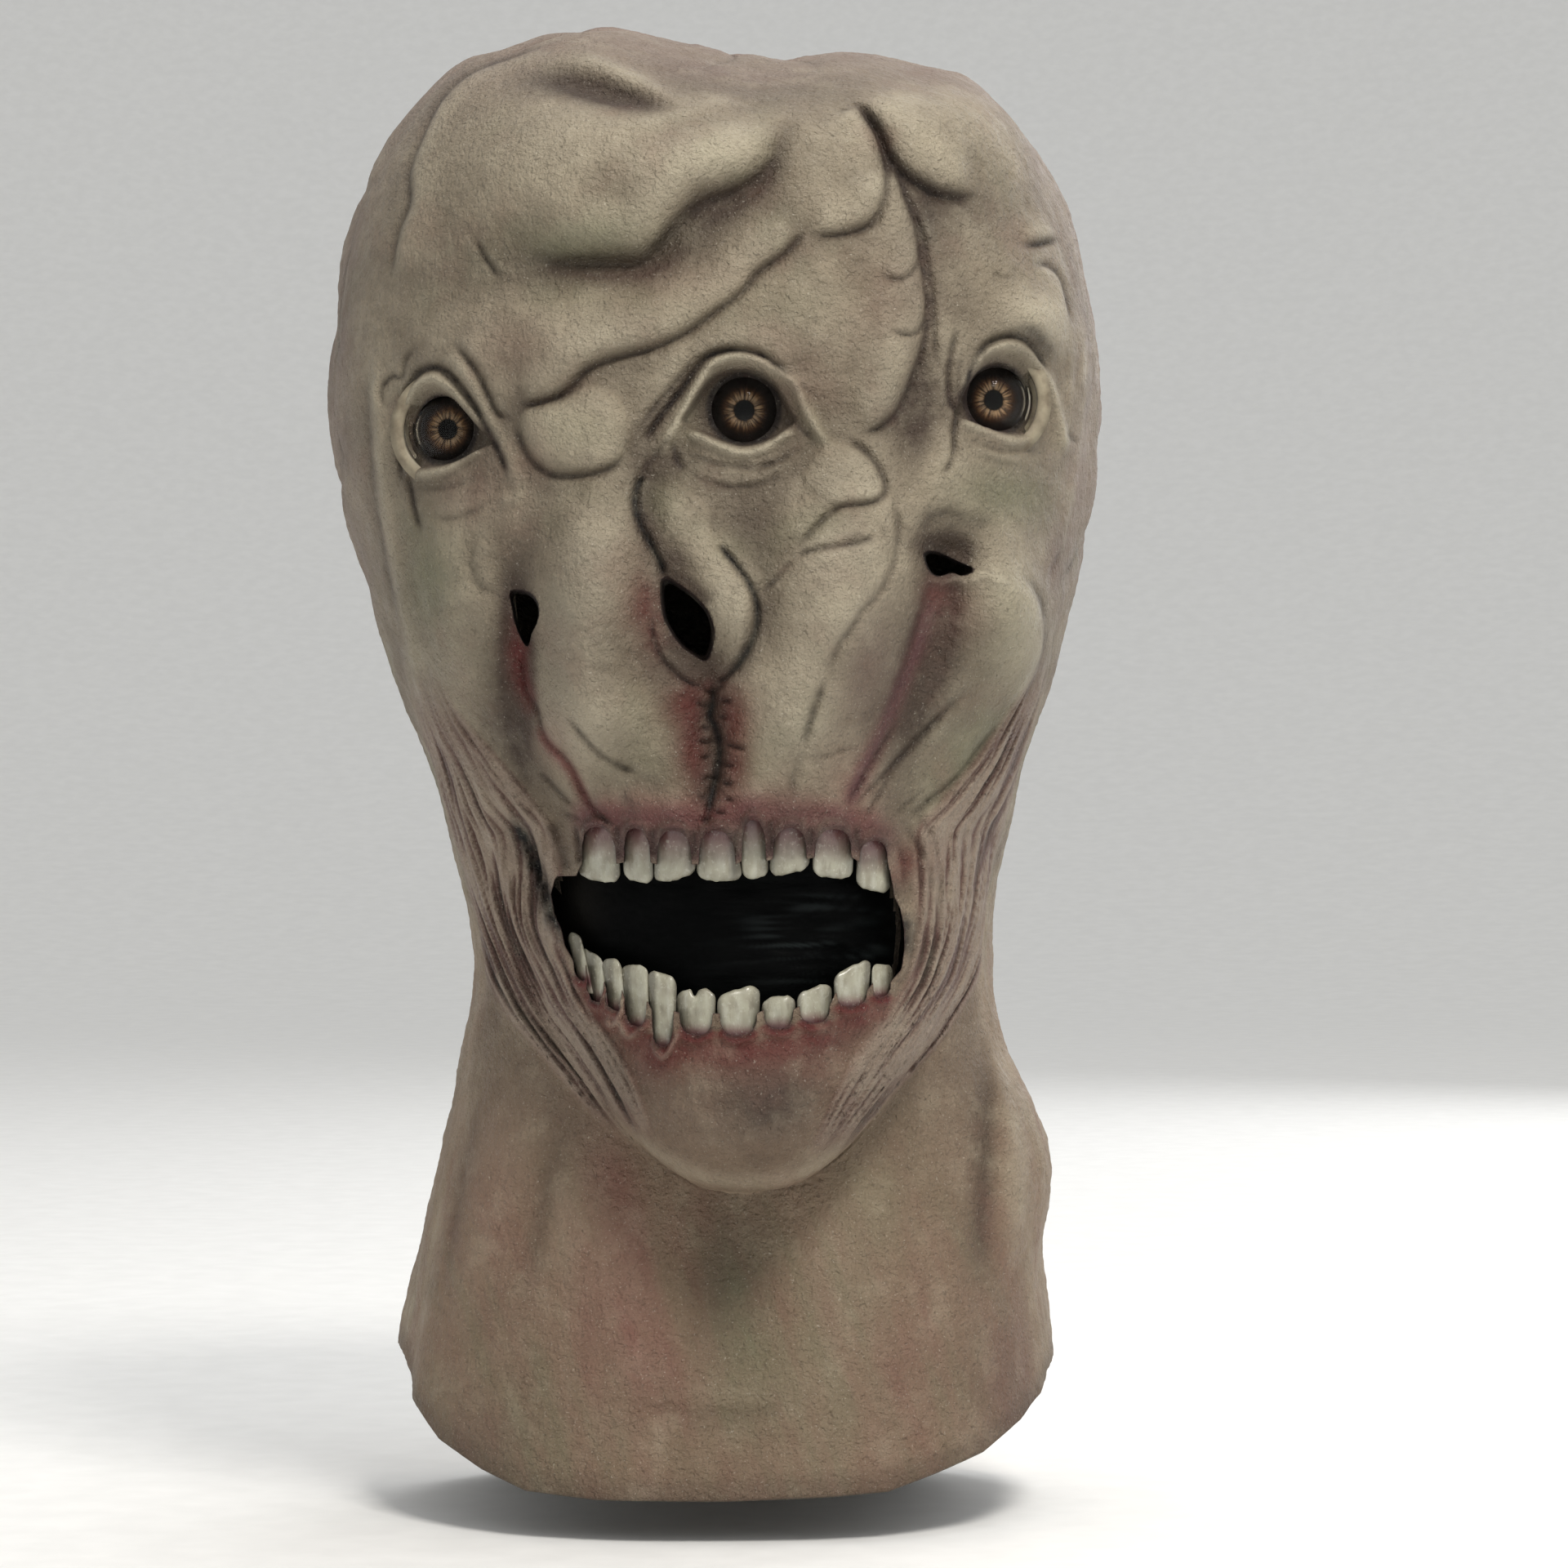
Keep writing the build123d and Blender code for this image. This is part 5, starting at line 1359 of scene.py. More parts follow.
def grid_faces(index):
    """Quads of a grid of vertex numbers that is closed across."""
    right = np.roll(index, -1, 0)
    quads = np.stack([index[:, :-1], right[:, :-1], right[:, 1:], index[:, 1:]], -1)
    return quads.reshape(-1, 4)


HOLES = {
    "mouth": MOUTH_HOLE,
    "nostril_left": smooth_path(NOSTRILS["left"], closed=True, step=0.6),
    "nostril_center": smooth_path(NOSTRILS["center"], closed=True, step=0.6),
    "nostril_right": smooth_path(NOSTRILS["right"], closed=True, step=0.6),
}


def hole_depth(path, x, z, front, reach):
    """Distance inside an outline for the points near it, and which those are."""
    low, high = path.min(0) - reach, path.max(0) + reach
    near = (x > low[0]) & (x < high[0]) & (z > low[1]) & (z < high[1]) & front
    depth = np.full(x.shape, -1e3)
    depth[near] = inside_distance(path, x[near], z[near])
    return depth


def snap_to_outline(path, points, base, normal, chosen):
    """Moves the chosen vertices sideways onto an outline, staying on the surface."""
    x, z = base[chosen, 0], base[chosen, 2]
    h = 0.05
    here = inside_distance(path, x, z)
    gx = (inside_distance(path, x + h, z) - inside_distance(path, x - h, z)) / (2 * h)
    gz = (inside_distance(path, x, z + h) - inside_distance(path, x, z - h)) / (2 * h)
    size = np.maximum(np.hypot(gx, gz), 0.3)
    dx, dz = -gx / size * here, -gz / size * here
    n = normal[chosen]
    dy = -(n[:, 0] * dx + n[:, 2] * dz) / np.minimum(n[:, 1], -0.35)
    points[chosen] += np.stack([dx, dy, dz], -1)


def rim_strip(faces, points, colour, tag, shifts, shades, taper):
    """Walls that run inwards from the free edges near a hole, narrowing by taper for each mm."""
    edges = np.concatenate([faces[:, [0, 1]], faces[:, [1, 2]], faces[:, [2, 3]], faces[:, [3, 0]]])
    edges = edges[edges[:, 0] != edges[:, 1]]
    key = np.sort(edges, 1)
    code = key[:, 0].astype(np.int64) * (len(points) + 1) + key[:, 1]
    _, first, count = np.unique(code, return_index=True, return_counts=True)
    free = edges[first[count == 1]]
    free = free[tag[free[:, 0]] & tag[free[:, 1]]]
    ring = np.unique(free)
    lookup_new = np.full(len(points), -1)
    new_points, new_colour, new_faces = [], [], []
    previous = ring.copy()
    start = len(points)
    middle = points[ring].mean(0)
    for shift, shade in zip(shifts, shades):
        lookup_old = np.full(len(points), -1)
        lookup_old[ring] = previous
        lookup_new[ring] = start + np.arange(len(ring))
        narrowed = mix(points[ring], middle, taper * np.linalg.norm(shift)) * [1, 0, 1]
        new_points.append(narrowed + points[ring] * [0, 1, 0] + shift)
        new_colour.append(tint(colour[ring], shade[0], np.full(len(ring), shade[1])))
        a, b = free[:, 0], free[:, 1]
        new_faces.append(np.stack([lookup_old[b], lookup_old[a], lookup_new[a], lookup_new[b]], -1))
        previous = lookup_new[ring].copy()
        start += len(ring)
    return np.concatenate(new_points), np.concatenate(new_colour), np.concatenate(new_faces)


FACE_FRONT_Y = -20.0       # holes are only cut in front of this depth
EYE_CUT_DEPTH = 16.0       # how far each way along an eye's axis its hole reaches
EYE_BACK_R = 18.5          # the plain inside stays this far from each eye's axis
HOLE_MARGIN = 2.5          # and this far from every other hole
INSIDE_EVERY = 6           # the plain inside keeps one row of the outside in this many
INSIDE_DEPTH = 6.0         # how far it lies behind the plain head surface, away from the hem
HEM_COLOUR = linear(84, 74, 62)
INSIDE_COLOUR = linear(96, 86, 74)


def build_skin(material):
    """The whole skin: sculpted outside, rims of every hole, rolled hem and plain inside."""
    scale = 1.0
    grid = skin_grid(scale)
    axis_distance = sink_sockets(grid)
    colour = skin_colour(grid)
    moved, base, normal = grid["moved"], grid["base"], grid["normal"]
    columns, rows = moved.shape[:2]
    index = np.arange(columns * rows).reshape(columns, rows)
    quads = grid_faces(index)
    points, flat_base = moved.reshape(-1, 3).copy(), base.reshape(-1, 3)
    flat_normal, flat_colour = normal.reshape(-1, 3), colour.reshape(-1, 3).copy()
    front = flat_base[:, 1] < FACE_FRONT_Y

    centre = points[index[:, -1]].mean(0)
    parts_points, parts_colour, parts_faces = [points], [flat_colour], []
    tags = {}
    for name, path in HOLES.items():
        depth = hole_depth(path, flat_base[:, 0], flat_base[:, 2], front, 3.0)
        removed = (depth[quads] > 0).all(1)
        quads = quads[~removed]
        used = np.zeros(len(points), bool)
        used[quads.ravel()] = True
        chosen = np.where((depth > 0) & used)[0]
        snap_to_outline(path, points, flat_base, flat_normal, chosen)
        # Painted shade on the edge of each hole: dark red-brown at the nostrils, dark plum at the mouth.
        flat_colour[chosen] = tint(flat_colour[chosen], NOSTRIL_SHADE if "nostril" in name else SKIN_PLUM * 0.5,
                                   np.full(len(chosen), 0.9 if "nostril" in name else 0.55))
        tags[name] = np.zeros(len(points), bool)
        tags[name][chosen] = True
    rho = axis_distance.reshape(-1)
    removed = (rho[quads] < EYE_HOLE_R).all(1)
    quads = quads[~removed]
    used = np.zeros(len(points), bool)
    used[quads.ravel()] = True
    for name in EYES:
        middle, right, out, up = eye_frame(name)
        offset = points - middle
        u, v, w = offset @ right, offset @ up, offset @ out
        ring = np.hypot(u, v)
        chosen = np.where((ring < EYE_HOLE_R) & used & (np.abs(w) < EYE_CUT_DEPTH) & front)[0]
        stretch = EYE_HOLE_R / np.maximum(ring[chosen], 0.5)
        points[chosen] = (middle + (u[chosen] * stretch)[:, None] * right
                          + (v[chosen] * stretch)[:, None] * up + w[chosen][:, None] * out)
        tags["eye_" + name] = np.zeros(len(points), bool)
        tags["eye_" + name][chosen] = True

    back = np.array([0.0, 1.0, 0.0])
    for name, tag in tags.items():
        if name.startswith("eye"):
            _, _, out, _ = eye_frame(name[4:])
            # Walls of the eye holes: painted shade, darkening to black.
            shifts, shades = (-0.8 * out, -2.2 * out), ((SKIN_INK_AND_SHADE, 0.9), (SKIN_BLACK, 1.0))
        elif name == "mouth":
            # Walls into the mouth: painted shade at the lip's edge, then the mouth's own black paint.
            shifts, shades = (0.7 * back, 2.2 * back, 4.2 * back), ((SKIN_PLUM, 0.5), (SKIN_INK_AND_SHADE, 0.8),
                                        (SKIN_BLACK, 1.0))
        else:
            # Walls into the nostrils: painted shade, darker the deeper.
            shifts, shades = (0.8 * back, 3.0 * back, 7.0 * back), ((NOSTRIL_SHADE, 1.0), (NOSTRIL_SHADE * 0.5, 1.0),
                                        (NOSTRIL_SHADE * 0.2, 1.0))
        full = np.concatenate(parts_points)
        tag_full = np.zeros(len(full), bool)
        tag_full[:len(tag)] = tag
        result = rim_strip(quads, full, np.concatenate(parts_colour), tag_full,
                           shifts, shades, 0.02 if name.startswith("nostril") else 0.0)
        for store, item in zip((parts_points, parts_colour, parts_faces), result):
            store.append(item)

    count = sum(len(p) for p in parts_points)
    hem = index[:, 0]
    lip_a = points[hem] - 0.8 * flat_normal[hem] + np.array([0, 0, -0.5])
    lip_b = points[hem] - SKIN_THICKNESS * flat_normal[hem]
    ring_a, ring_b = count + np.arange(columns), count + columns + np.arange(columns)
    shade = np.repeat(HEM_COLOUR[None, :], columns, 0)
    parts_points += [lip_a, lip_b]
    parts_colour += [shade, shade]
    for low, high in ((ring_a, hem), (ring_b, ring_a)):
        parts_faces.append(np.stack([low, np.roll(low, -1), np.roll(high, -1), high], -1))
    count += 2 * columns

    picked = np.arange(0, rows, INSIDE_EVERY)
    inner_base, inner_normal = base[:, picked], normal[:, picked]
    depth_in = mix(SKIN_THICKNESS, INSIDE_DEPTH, smoothstep(0, 40,
                                        inner_base[..., 2:3] - inner_base[:, :1, 2:3]))
    inner = (inner_base - inner_normal * depth_in).reshape(-1, 3)
    inner[:, 2] -= top_profile(inner[:, 0], inner[:, 2])
    inner_index = np.arange(columns * len(picked)).reshape(columns, len(picked))
    inner_quads = grid_faces(inner_index)[:, ::-1]
    inner_flat = inner_base.reshape(-1, 3)
    inner_front = inner_flat[:, 1] < FACE_FRONT_Y
    for path in HOLES.values():
        depth = hole_depth(path, inner_flat[:, 0], inner_flat[:, 2], inner_front, 6.0)
        inner_quads = inner_quads[~(depth[inner_quads] > -HOLE_MARGIN).any(1)]
    for name in EYES:
        middle, right, out, up = eye_frame(name)
        offset = inner - middle
        ring = np.hypot(offset @ right, offset @ up)
        covered = (ring < EYE_BACK_R) & inner_front
        inner_quads = inner_quads[~covered[inner_quads].any(1)]
    parts_points.append(inner)
    parts_colour.append(np.repeat(INSIDE_COLOUR[None, :], len(inner), 0))
    parts_faces.append(inner_quads + count)
    inner_hem = count + inner_index[:, 0]
    parts_faces.append(np.stack([inner_hem, np.roll(inner_hem, -1), np.roll(ring_b, -1), ring_b], -1))
    count += len(inner)

    crown_outer, crown_inner = count, count + 1
    inner_top = inner[inner_index[:, -1]]
    parts_points.append(np.array([centre, inner_top.mean(0)]))
    parts_colour.append(np.array([flat_colour[index[:, -1]].mean(0), INSIDE_COLOUR]))
    top = index[:, -1]
    fan_outer = np.stack([top, np.roll(top, -1), np.full(columns, crown_outer)], -1)
    inner_top_index = crown_inner - 1 - len(inner) + inner_index[:, -1]
    fan_inner = np.stack([np.roll(inner_top_index, -1), inner_top_index, np.full(columns, crown_inner)], -1)

    everything = np.concatenate([quads] + parts_faces)
    faces = TwoSizes(everything, np.concatenate([fan_outer, fan_inner]))
    return make_mixed("mask_skin", np.concatenate(parts_points), faces, material,
                      np.concatenate(parts_colour))


class TwoSizes:
    """Quads followed by triangles."""

    def __init__(self, quads, triangles):
        self.quads, self.triangles = quads, triangles


def make_mixed(name, points, faces, material, colour):
    """Skin object, without the vertices that no face uses."""
    used = np.zeros(len(points), bool)
    used[faces.quads.ravel()] = True
    used[faces.triangles.ravel()] = True
    renumber = np.cumsum(used) - 1
    quads, triangles = renumber[faces.quads], renumber[faces.triangles]
    mesh = bpy.data.meshes.new(name)
    points, colour = points[used], colour[used]
    loops = np.concatenate([quads.ravel(), triangles.ravel()])
    counts = np.concatenate([np.full(len(quads), 4), np.full(len(triangles), 3)])
    mesh.vertices.add(len(points))
    mesh.vertices.foreach_set("co", (points * MM).astype(np.float32).ravel())
    mesh.loops.add(len(loops))
    mesh.loops.foreach_set("vertex_index", loops.astype(np.int32))
    mesh.polygons.add(len(counts))
    mesh.polygons.foreach_set("loop_start", (np.cumsum(counts) - counts).astype(np.int32))
    mesh.update(calc_edges=True)
    layer = mesh.color_attributes.new("Paint", "FLOAT_COLOR", "POINT")
    rgba = np.concatenate([colour, np.ones((len(colour), 1))], 1)
    layer.data.foreach_set("color", rgba.astype(np.float32).ravel())
    mesh.validate()
    mesh.polygons.foreach_set("use_smooth", [True] * len(mesh.polygons))
    mesh.materials.append(material)
    piece = bpy.data.objects.new(name, mesh)
    bpy.context.scene.collection.objects.link(piece)
    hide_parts("latex_skin")
    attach(piece, "root")
    return piece


# ---------------------------------------------------------------------------
# Mouth and teeth
# ---------------------------------------------------------------------------
LINING_OUTLINE = [
    (-54.5, 201.5), (-41.0, 206.5), (-22.0, 206.0), (2.0, 206.0), (22.0, 206.0), (39.5, 204.0),
    (51.5, 196.0), (58.0, 178.0), (57.0, 161.0), (48.0, 150.0), (34.5, 143.4), (18.0, 139.9),
    (0.0, 138.9), (-21.0, 138.9), (-36.5, 146.3), (-47.0, 159.5), (-54.0, 176.0), (-57.6, 191.0),
]


def build_lining(material):
    """Black tray behind the lips, with the streaks and the dull patches of its moulding and lighter streaks
    of painted highlight on its right.
    """
    outline = smooth_path(LINING_OUTLINE, closed=True, step=2.0)
    middle = np.array([2.0, 173.0])
    rings = np.linspace(0, 1, 56) ** 0.85
    flat = middle + (outline[None] - middle) * rings[1:, None, None]
    flat = flat.reshape(-1, 2)
    x, z = np.append(flat[:, 0], middle[0]), np.append(flat[:, 1], middle[1])
    inside = np.maximum(inside_distance(outline, x, z), 0)
    depth = mix(5.5, 13.0, smoothstep(0, 11, inside))
    streak = np.exp(-((x - 27) / 19) ** 2 - ((z - 171) / 12) ** 2)
    depth -= streak * 1.1 * noise(x / 22, z / 3.4, 132)
    depth -= 0.6 * noise(x / 12, z / 9, 133)
    depth -= 2.2 * np.exp(-((x + 40) / 7) ** 2 - ((z - 178) / 13) ** 2)
    depth -= 2.0 * np.exp(-((x - 50) / 6) ** 2 - ((z - 176) / 16) ** 2)
    y = front_depth(x, z) + depth
    front = np.stack([x, y, z], -1)
    around = len(outline)
    count = len(rings) - 1
    index = np.arange(count * around).reshape(count, around)
    faces = []
    for a, b in zip(index[:-1], index[1:]):
        for i in range(around):
            j = (i + 1) % around
            faces.append((a[i], b[i], b[j], a[j]))
    centre = count * around
    for i in range(around):
        faces.append((centre, index[0][i], index[0][(i + 1) % around]))
    back = front + np.array([0, 1.6, 0])
    offset = len(front)
    faces += [tuple(offset + v for v in f[::-1]) for f in faces]
    outer = index[-1]
    for i in range(around):
        j = (i + 1) % around
        faces.append((outer[j], outer[i], outer[i] + offset, outer[j] + offset))
    dull = np.exp(-((x + 42) / 7) ** 2 - ((z - 182) / 12) ** 2)
    dull += 0.8 * np.exp(-((x - 52) / 5) ** 2 - ((z - 172) / 15) ** 2)
    grey = linear(64, 60, 55)
    colour = mix(np.broadcast_to(linear(1, 2, 2), (len(x), 3)), grey, 0.15 * np.clip(dull, 0, 1)[:, None])
    # Lighter streaks over the right of the black: painted highlight.
    streak_highlight = streak * smoothstep(0.05, 0.75, noise(x / 17 + z / 60, z / 1.7, 131))
    colour = mix(colour, linear(46, 52, 52), 0.6 * streak_highlight[:, None])
    return make_piece("mouth_tray", np.concatenate([front, back]), faces, material,
                      ("mouth_lining",), np.concatenate([colour, colour]))


TOOTH_LIGHT = linear(166, 164, 146)
TOOTH_DARK = linear(112, 104, 88)
TOOTH_GUM = linear(104, 60, 64)
TOOTH_ROOT_RUN = 3.6       # how far a tooth's root runs on behind the gum


NOTCHED_TOOTH = 5          # the lower tooth whose edge has a notch, counted from 0 at the left
NOTCH_X = -7.9
TOOTH_PALE = linear(190, 190, 178)
TOOTH_ROOT_SHADE = linear(66, 34, 38)


def tooth_mesh(tooth, number, upper):
    """Points, faces and colours of one rounded, ridged tooth."""
    gum_left, gum_right, edge_left, edge_right, gum_z, _, edge_z_left, edge_z_right = tooth
    around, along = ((40, 30))
    rows = []
    sign = 1 if upper else -1
    root_z = gum_z + sign * TOOTH_ROOT_RUN
    seed = 140 + 7 * number + (60 if upper else 0)
    middle_x = 0.25 * (gum_left + gum_right + edge_left + edge_right)
    edge_z = 0.5 * (edge_z_left + edge_z_right)
    middle_z = 0.5 * (gum_z + edge_z)
    surface = front_depth(np.array([middle_x - 2, middle_x, middle_x + 2]), np.full(3, middle_z))
    slope = (surface[2] - surface[0]) / 4
    lean = 0.45 * (front_depth(np.array([middle_x]), np.array([edge_z]))[0]
                   - front_depth(np.array([middle_x]), np.array([gum_z]))[0]) / (edge_z - gum_z)
    run = abs(root_z - edge_z)
    round_end = min(3.4, 0.32 * run)
    for i in range(along + 1):
        v = i / along
        v = v if v < 0.72 else 0.72 + 0.28 * math.sin((v - 0.72) / 0.28 * math.pi / 2)
        from_edge = run * (1 - v)
        left = mix(gum_left, edge_left, min(v * 1.12, 1))
        right = mix(gum_right, edge_right, min(v * 1.12, 1))
        closing = math.sqrt(max(0.0, 1 - max(0.0, 1 - from_edge / round_end) ** 2.6))
        half = 0.54 * (right - left) * (0.40 + 0.60 * closing if i < along else 0.36)
        thick = 0.5 * TOOTH_THICKNESS * (0.62 + 0.38 * (1 - v)) * (0.25 + 0.75 * closing)
        centre_x = 0.5 * (left + right)
        for k in range(around):
            a = 2 * math.pi * k / around
            c, s = math.cos(a), math.sin(a)
            across = half * math.copysign(abs(c) ** 0.78, c)
            deep = -thick * math.copysign(abs(s) ** 0.85, s)
            x = centre_x + across
            share = (x - left) / max(right - left, 0.1)
            z = mix(root_z, mix(edge_z_left, edge_z_right, share), v)
            y = surface[1] + 2.0 + 3.0 + deep + slope * (x - middle_x) + lean * (z - middle_z)
            rows.append((x, y, z))
    points = np.array(rows)
    x, z = points[:, 0], points[:, 2]
    front_side = np.tile(np.sin(2 * math.pi * np.arange(around) / around) > 0.05, along + 1)
    twist = 0.22 * math.sin(3.1 * number + (0.8 if upper else 2.0))
    points[:, 1] += twist * (x - middle_x)
    points[:, 2] += 0.45 * noise(x / 1.9, z / 30, seed + 7) * smoothstep(4.0, 0.0, np.abs(z - edge_z))
    z = points[:, 2]
    ridges = 0.28 * noise(x / 2.2, z / 16, seed) + 0.10 * noise(x / 0.9, z / 9, seed + 1)
    dents = 0.14 * cloud(x / 2.6, z / 2.6, seed + 2, 2)
    points[:, 1] -= (ridges + dents) * front_side
    if number == NOTCHED_TOOTH and not upper:
        notch = np.exp(-((x - NOTCH_X) / 0.7) ** 2) * smoothstep(152.5, 157, z)
        points[:, 2] -= 2.4 * notch
        points[:, 1] += 0.9 * notch * front_side
    to_gum = smoothstep(0, 11.5 if upper else 4.0, np.abs(z - gum_z))
    colour = np.broadcast_to(TOOTH_LIGHT, (len(x), 3)).copy()
    stain = 0.5 + 0.7 * cloud(x / 3.0, z / 5.0, seed + 3, 3)
    colour = tint(colour, TOOTH_DARK, 0.55 * stain)
    colour = tint(colour, TOOTH_PALE, 0.5 * np.clip(cloud(x / 1.6, z / 9.0, seed + 4, 2), 0, 1))
    colour = tint(colour, TOOTH_GUM, 0.9 * (1 - to_gum) ** 0.9)
    colour = tint(colour, TOOTH_ROOT_SHADE, 0.55 * smoothstep(1.8, 0, np.abs(z - gum_z)))
    side = np.abs(x - 0.5 * (gum_left + gum_right)) / max(0.5 * (gum_right - gum_left), 1)
    # Painted shade down the sides of each tooth, where it turns towards its neighbours.
    colour = tint(colour, TOOTH_DARK * 0.35, 0.60 * smoothstep(0.70, 1.1, side))
    faces = []
    for i in range(along):
        for k in range(around):
            m = (k + 1) % around
            a, b = i * around, (i + 1) * around
            faces.append((a + k, a + m, b + m, b + k) if upper else (a + k, b + k, b + m, a + m))
    first, last = tuple(range(around)), tuple(range(along * around, (along + 1) * around))
    faces.append(first[::-1] if upper else first)
    faces.append(last if upper else last[::-1])
    return points, faces, np.clip(colour, 0, 1)


def build_teeth(material):
    for upper, table, node in ((True, UPPER_TEETH, "upper_teeth"), (False, LOWER_TEETH, "lower_teeth")):
        for number, tooth in enumerate(table):
            points, faces, colour = tooth_mesh(tooth, number, upper)
            make_piece(f"{node}_{number + 1:02d}", points, faces, material, (node,), colour)


# ---------------------------------------------------------------------------
# Eyes
# ---------------------------------------------------------------------------
IRIS_DARK = linear(16, 10, 7)
IRIS_BROWN = linear(58, 38, 24)
IRIS_GOLD = linear(146, 112, 76)
IRIS_PALE = linear(160, 138, 110)


def revolve(name, profile, segments, material, nodes, closed=True):
    """Ring-shaped or dome-shaped piece round an eye's axis, from (radius, distance outwards) points."""
    middle, right, out, up = eye_frame(name.split("_")[1])
    angles = 2 * math.pi * np.arange(segments) / segments
    points, rings = [], []
    for radius, w in profile:
        if radius < 1e-6:
            rings.append([len(points)] * segments)
            points.append(middle + w * out)
            continue
        rings.append([len(points) + i for i in range(segments)])
        for a in angles:
            points.append(middle + w * out + radius * (math.cos(a) * right + math.sin(a) * up))
    faces = []
    pairs = list(zip(rings, rings[1:] + rings[:1])) if closed else list(zip(rings, rings[1:]))
    for low, high in pairs:
        for i in range(segments):
            j = (i + 1) % segments
            corners = []
            for v in (low[i], high[i], high[j], low[j]):
                if v not in corners:
                    corners.append(v)
            if len(corners) > 2:
                faces.append(tuple(corners))
    return make_piece(name, np.array(points), faces, material, nodes)


def dome_profile(radius, rise, level, steps):
    """Half outline of a spherical cap from its rim to its tip."""
    sphere = (radius ** 2 + rise ** 2) / (2 * rise)
    end = math.asin(radius / sphere)
    return [(sphere * math.sin(end * (1 - i / steps)),
             sphere * math.cos(end * (1 - i / steps)) - sphere + rise + level) for i in range(steps + 1)]


def build_iris(eye, seed, material):
    """Painted disc: radial fibres, pale ring round a dark pupil, dark rim."""
    middle, right, out, up = eye_frame(eye)
    rings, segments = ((44, 160))
    radii = IRIS_R * (np.arange(1, rings + 1) / rings)
    angles = 2 * math.pi * np.arange(segments) / segments
    R, A = np.meshgrid(radii, angles, indexing="ij")
    level = BRIM_FRONT - BRIM_T - 0.1
    fibre = noise(A * 9 / math.pi * 2.6, R / 5.0, seed) + 0.6 * noise(A * 9 / math.pi * 6, R / 3.0, seed + 1)
    height = level - 0.4 * (1 - R / IRIS_R) + 0.10 * fibre * smoothstep(2.4, 4, R)
    points = (middle + height[..., None] * out + (R * np.cos(A))[..., None] * right
              + (R * np.sin(A))[..., None] * up)
    pupil = 2.75 + 0.12 * noise(A * 3, R * 0, seed + 2)
    colour = np.broadcast_to(IRIS_BROWN, R.shape + (3,)).copy()
    inner = smoothstep(6.2, 3.9, R)
    colour = tint(colour, IRIS_GOLD, smoothstep(-0.35, 0.55, fibre) * inner)
    colour = tint(colour, IRIS_PALE, 0.6 * np.exp(-((R - 3.7) / 0.8) ** 2) * (0.7 + 0.6 * fibre))
    colour = tint(colour, IRIS_DARK, 0.75 * np.clip(-fibre - 0.1, 0, 1))
    colour = tint(colour, IRIS_DARK, 0.95 * smoothstep(5.0, 7.2, R + 0.8 * noise(A * 14, R * 0, seed + 3)))
    colour = tint(colour, linear(3, 3, 3), smoothstep(0.45, 0.0, R - pupil))
    around = segments
    faces = []
    for i in range(rings - 1):
        for k in range(around):
            m = (k + 1) % around
            faces.append((i * around + k, (i + 1) * around + k, (i + 1) * around + m, i * around + m))
    centre = rings * around
    tip = middle + (level - 0.4) * out
    for k in range(around):
        faces.append((centre, k, (k + 1) % around))
    flat = points.reshape(-1, 3)
    front = np.concatenate([flat, tip[None]])
    back = front - 0.8 * out
    offset = len(front)
    faces += [tuple(offset + v for v in f[::-1]) for f in faces]
    edge = (rings - 1) * around
    for k in range(around):
        m = (k + 1) % around
        faces.append((edge + m, edge + k, edge + k + offset, edge + m + offset))
    paint_values = np.concatenate([colour.reshape(-1, 3), linear(3, 3, 3)[None]])
    return make_piece(f"eye_{eye}_iris_disc", np.concatenate([front, back]), faces, material,
                      (f"eye_{eye}_iris",), np.clip(np.concatenate([paint_values, paint_values]), 0, 1))


def build_eyes(clear, iris, white, collar):
    segments = 96
    brim_back = BRIM_FRONT - BRIM_T
    outer = dome_profile(DOME_R, DOME_RISE, BRIM_FRONT, 20)
    inner = dome_profile(DOME_R - 1.4, DOME_RISE - 0.6, brim_back, 20)
    shell = inner + outer[::-1] + [(BRIM_R, BRIM_FRONT), (BRIM_R, brim_back)]
    cup_front = brim_back - 0.8 - 0.4 - 0.2
    cup = [(0, cup_front), (11.0, cup_front)] + [(r, cup_front - w) for r,
                                        w in dome_profile(11.0, 8.5, 0, 14)[1:]]
    front, lip = BRIM_FRONT + 0.6, brim_back - 0.3
    ring = [(13.0, front), (17.0, front - 1.0), (15.5, front - 7.0), (11.6, front - 7.0), (11.6, lip),
            (13.0, lip)]
    for number, eye in enumerate(EYES):
        revolve(f"eye_{eye}_dome", shell, segments, clear, (f"eye_{eye}_cornea",))
        build_iris(eye, 170 + 11 * number, iris)
        revolve(f"eye_{eye}_back", cup, segments, white, (f"eye_{eye}_cup",), closed=False)
        revolve(f"eye_{eye}_ring", ring, segments, collar, (f"eye_{eye}_collar",))


# ---------------------------------------------------------------------------
# Materials
# ---------------------------------------------------------------------------
def new_material(name):
    material = bpy.data.materials.new(name)
    material.use_nodes = True
    tree = material.node_tree
    return material, tree, tree.nodes["Principled BSDF"]


def add_noise(tree, scale, detail, roughness=0.55, stretch=(1, 1, 1)):
    """3-D noise in object space; scale is features per metre."""
    coordinates = tree.nodes.new("ShaderNodeTexCoord")
    mapping = tree.nodes.new("ShaderNodeMapping")
    mapping.inputs["Scale"].default_value = stretch
    texture = tree.nodes.new("ShaderNodeTexNoise")
    texture.inputs["Scale"].default_value = scale
    texture.inputs["Detail"].default_value = detail
    texture.inputs["Roughness"].default_value = roughness
    tree.links.new(coordinates.outputs["Object"], mapping.inputs["Vector"])
    tree.links.new(mapping.outputs["Vector"], texture.inputs["Vector"])
    return texture.outputs["Fac"]


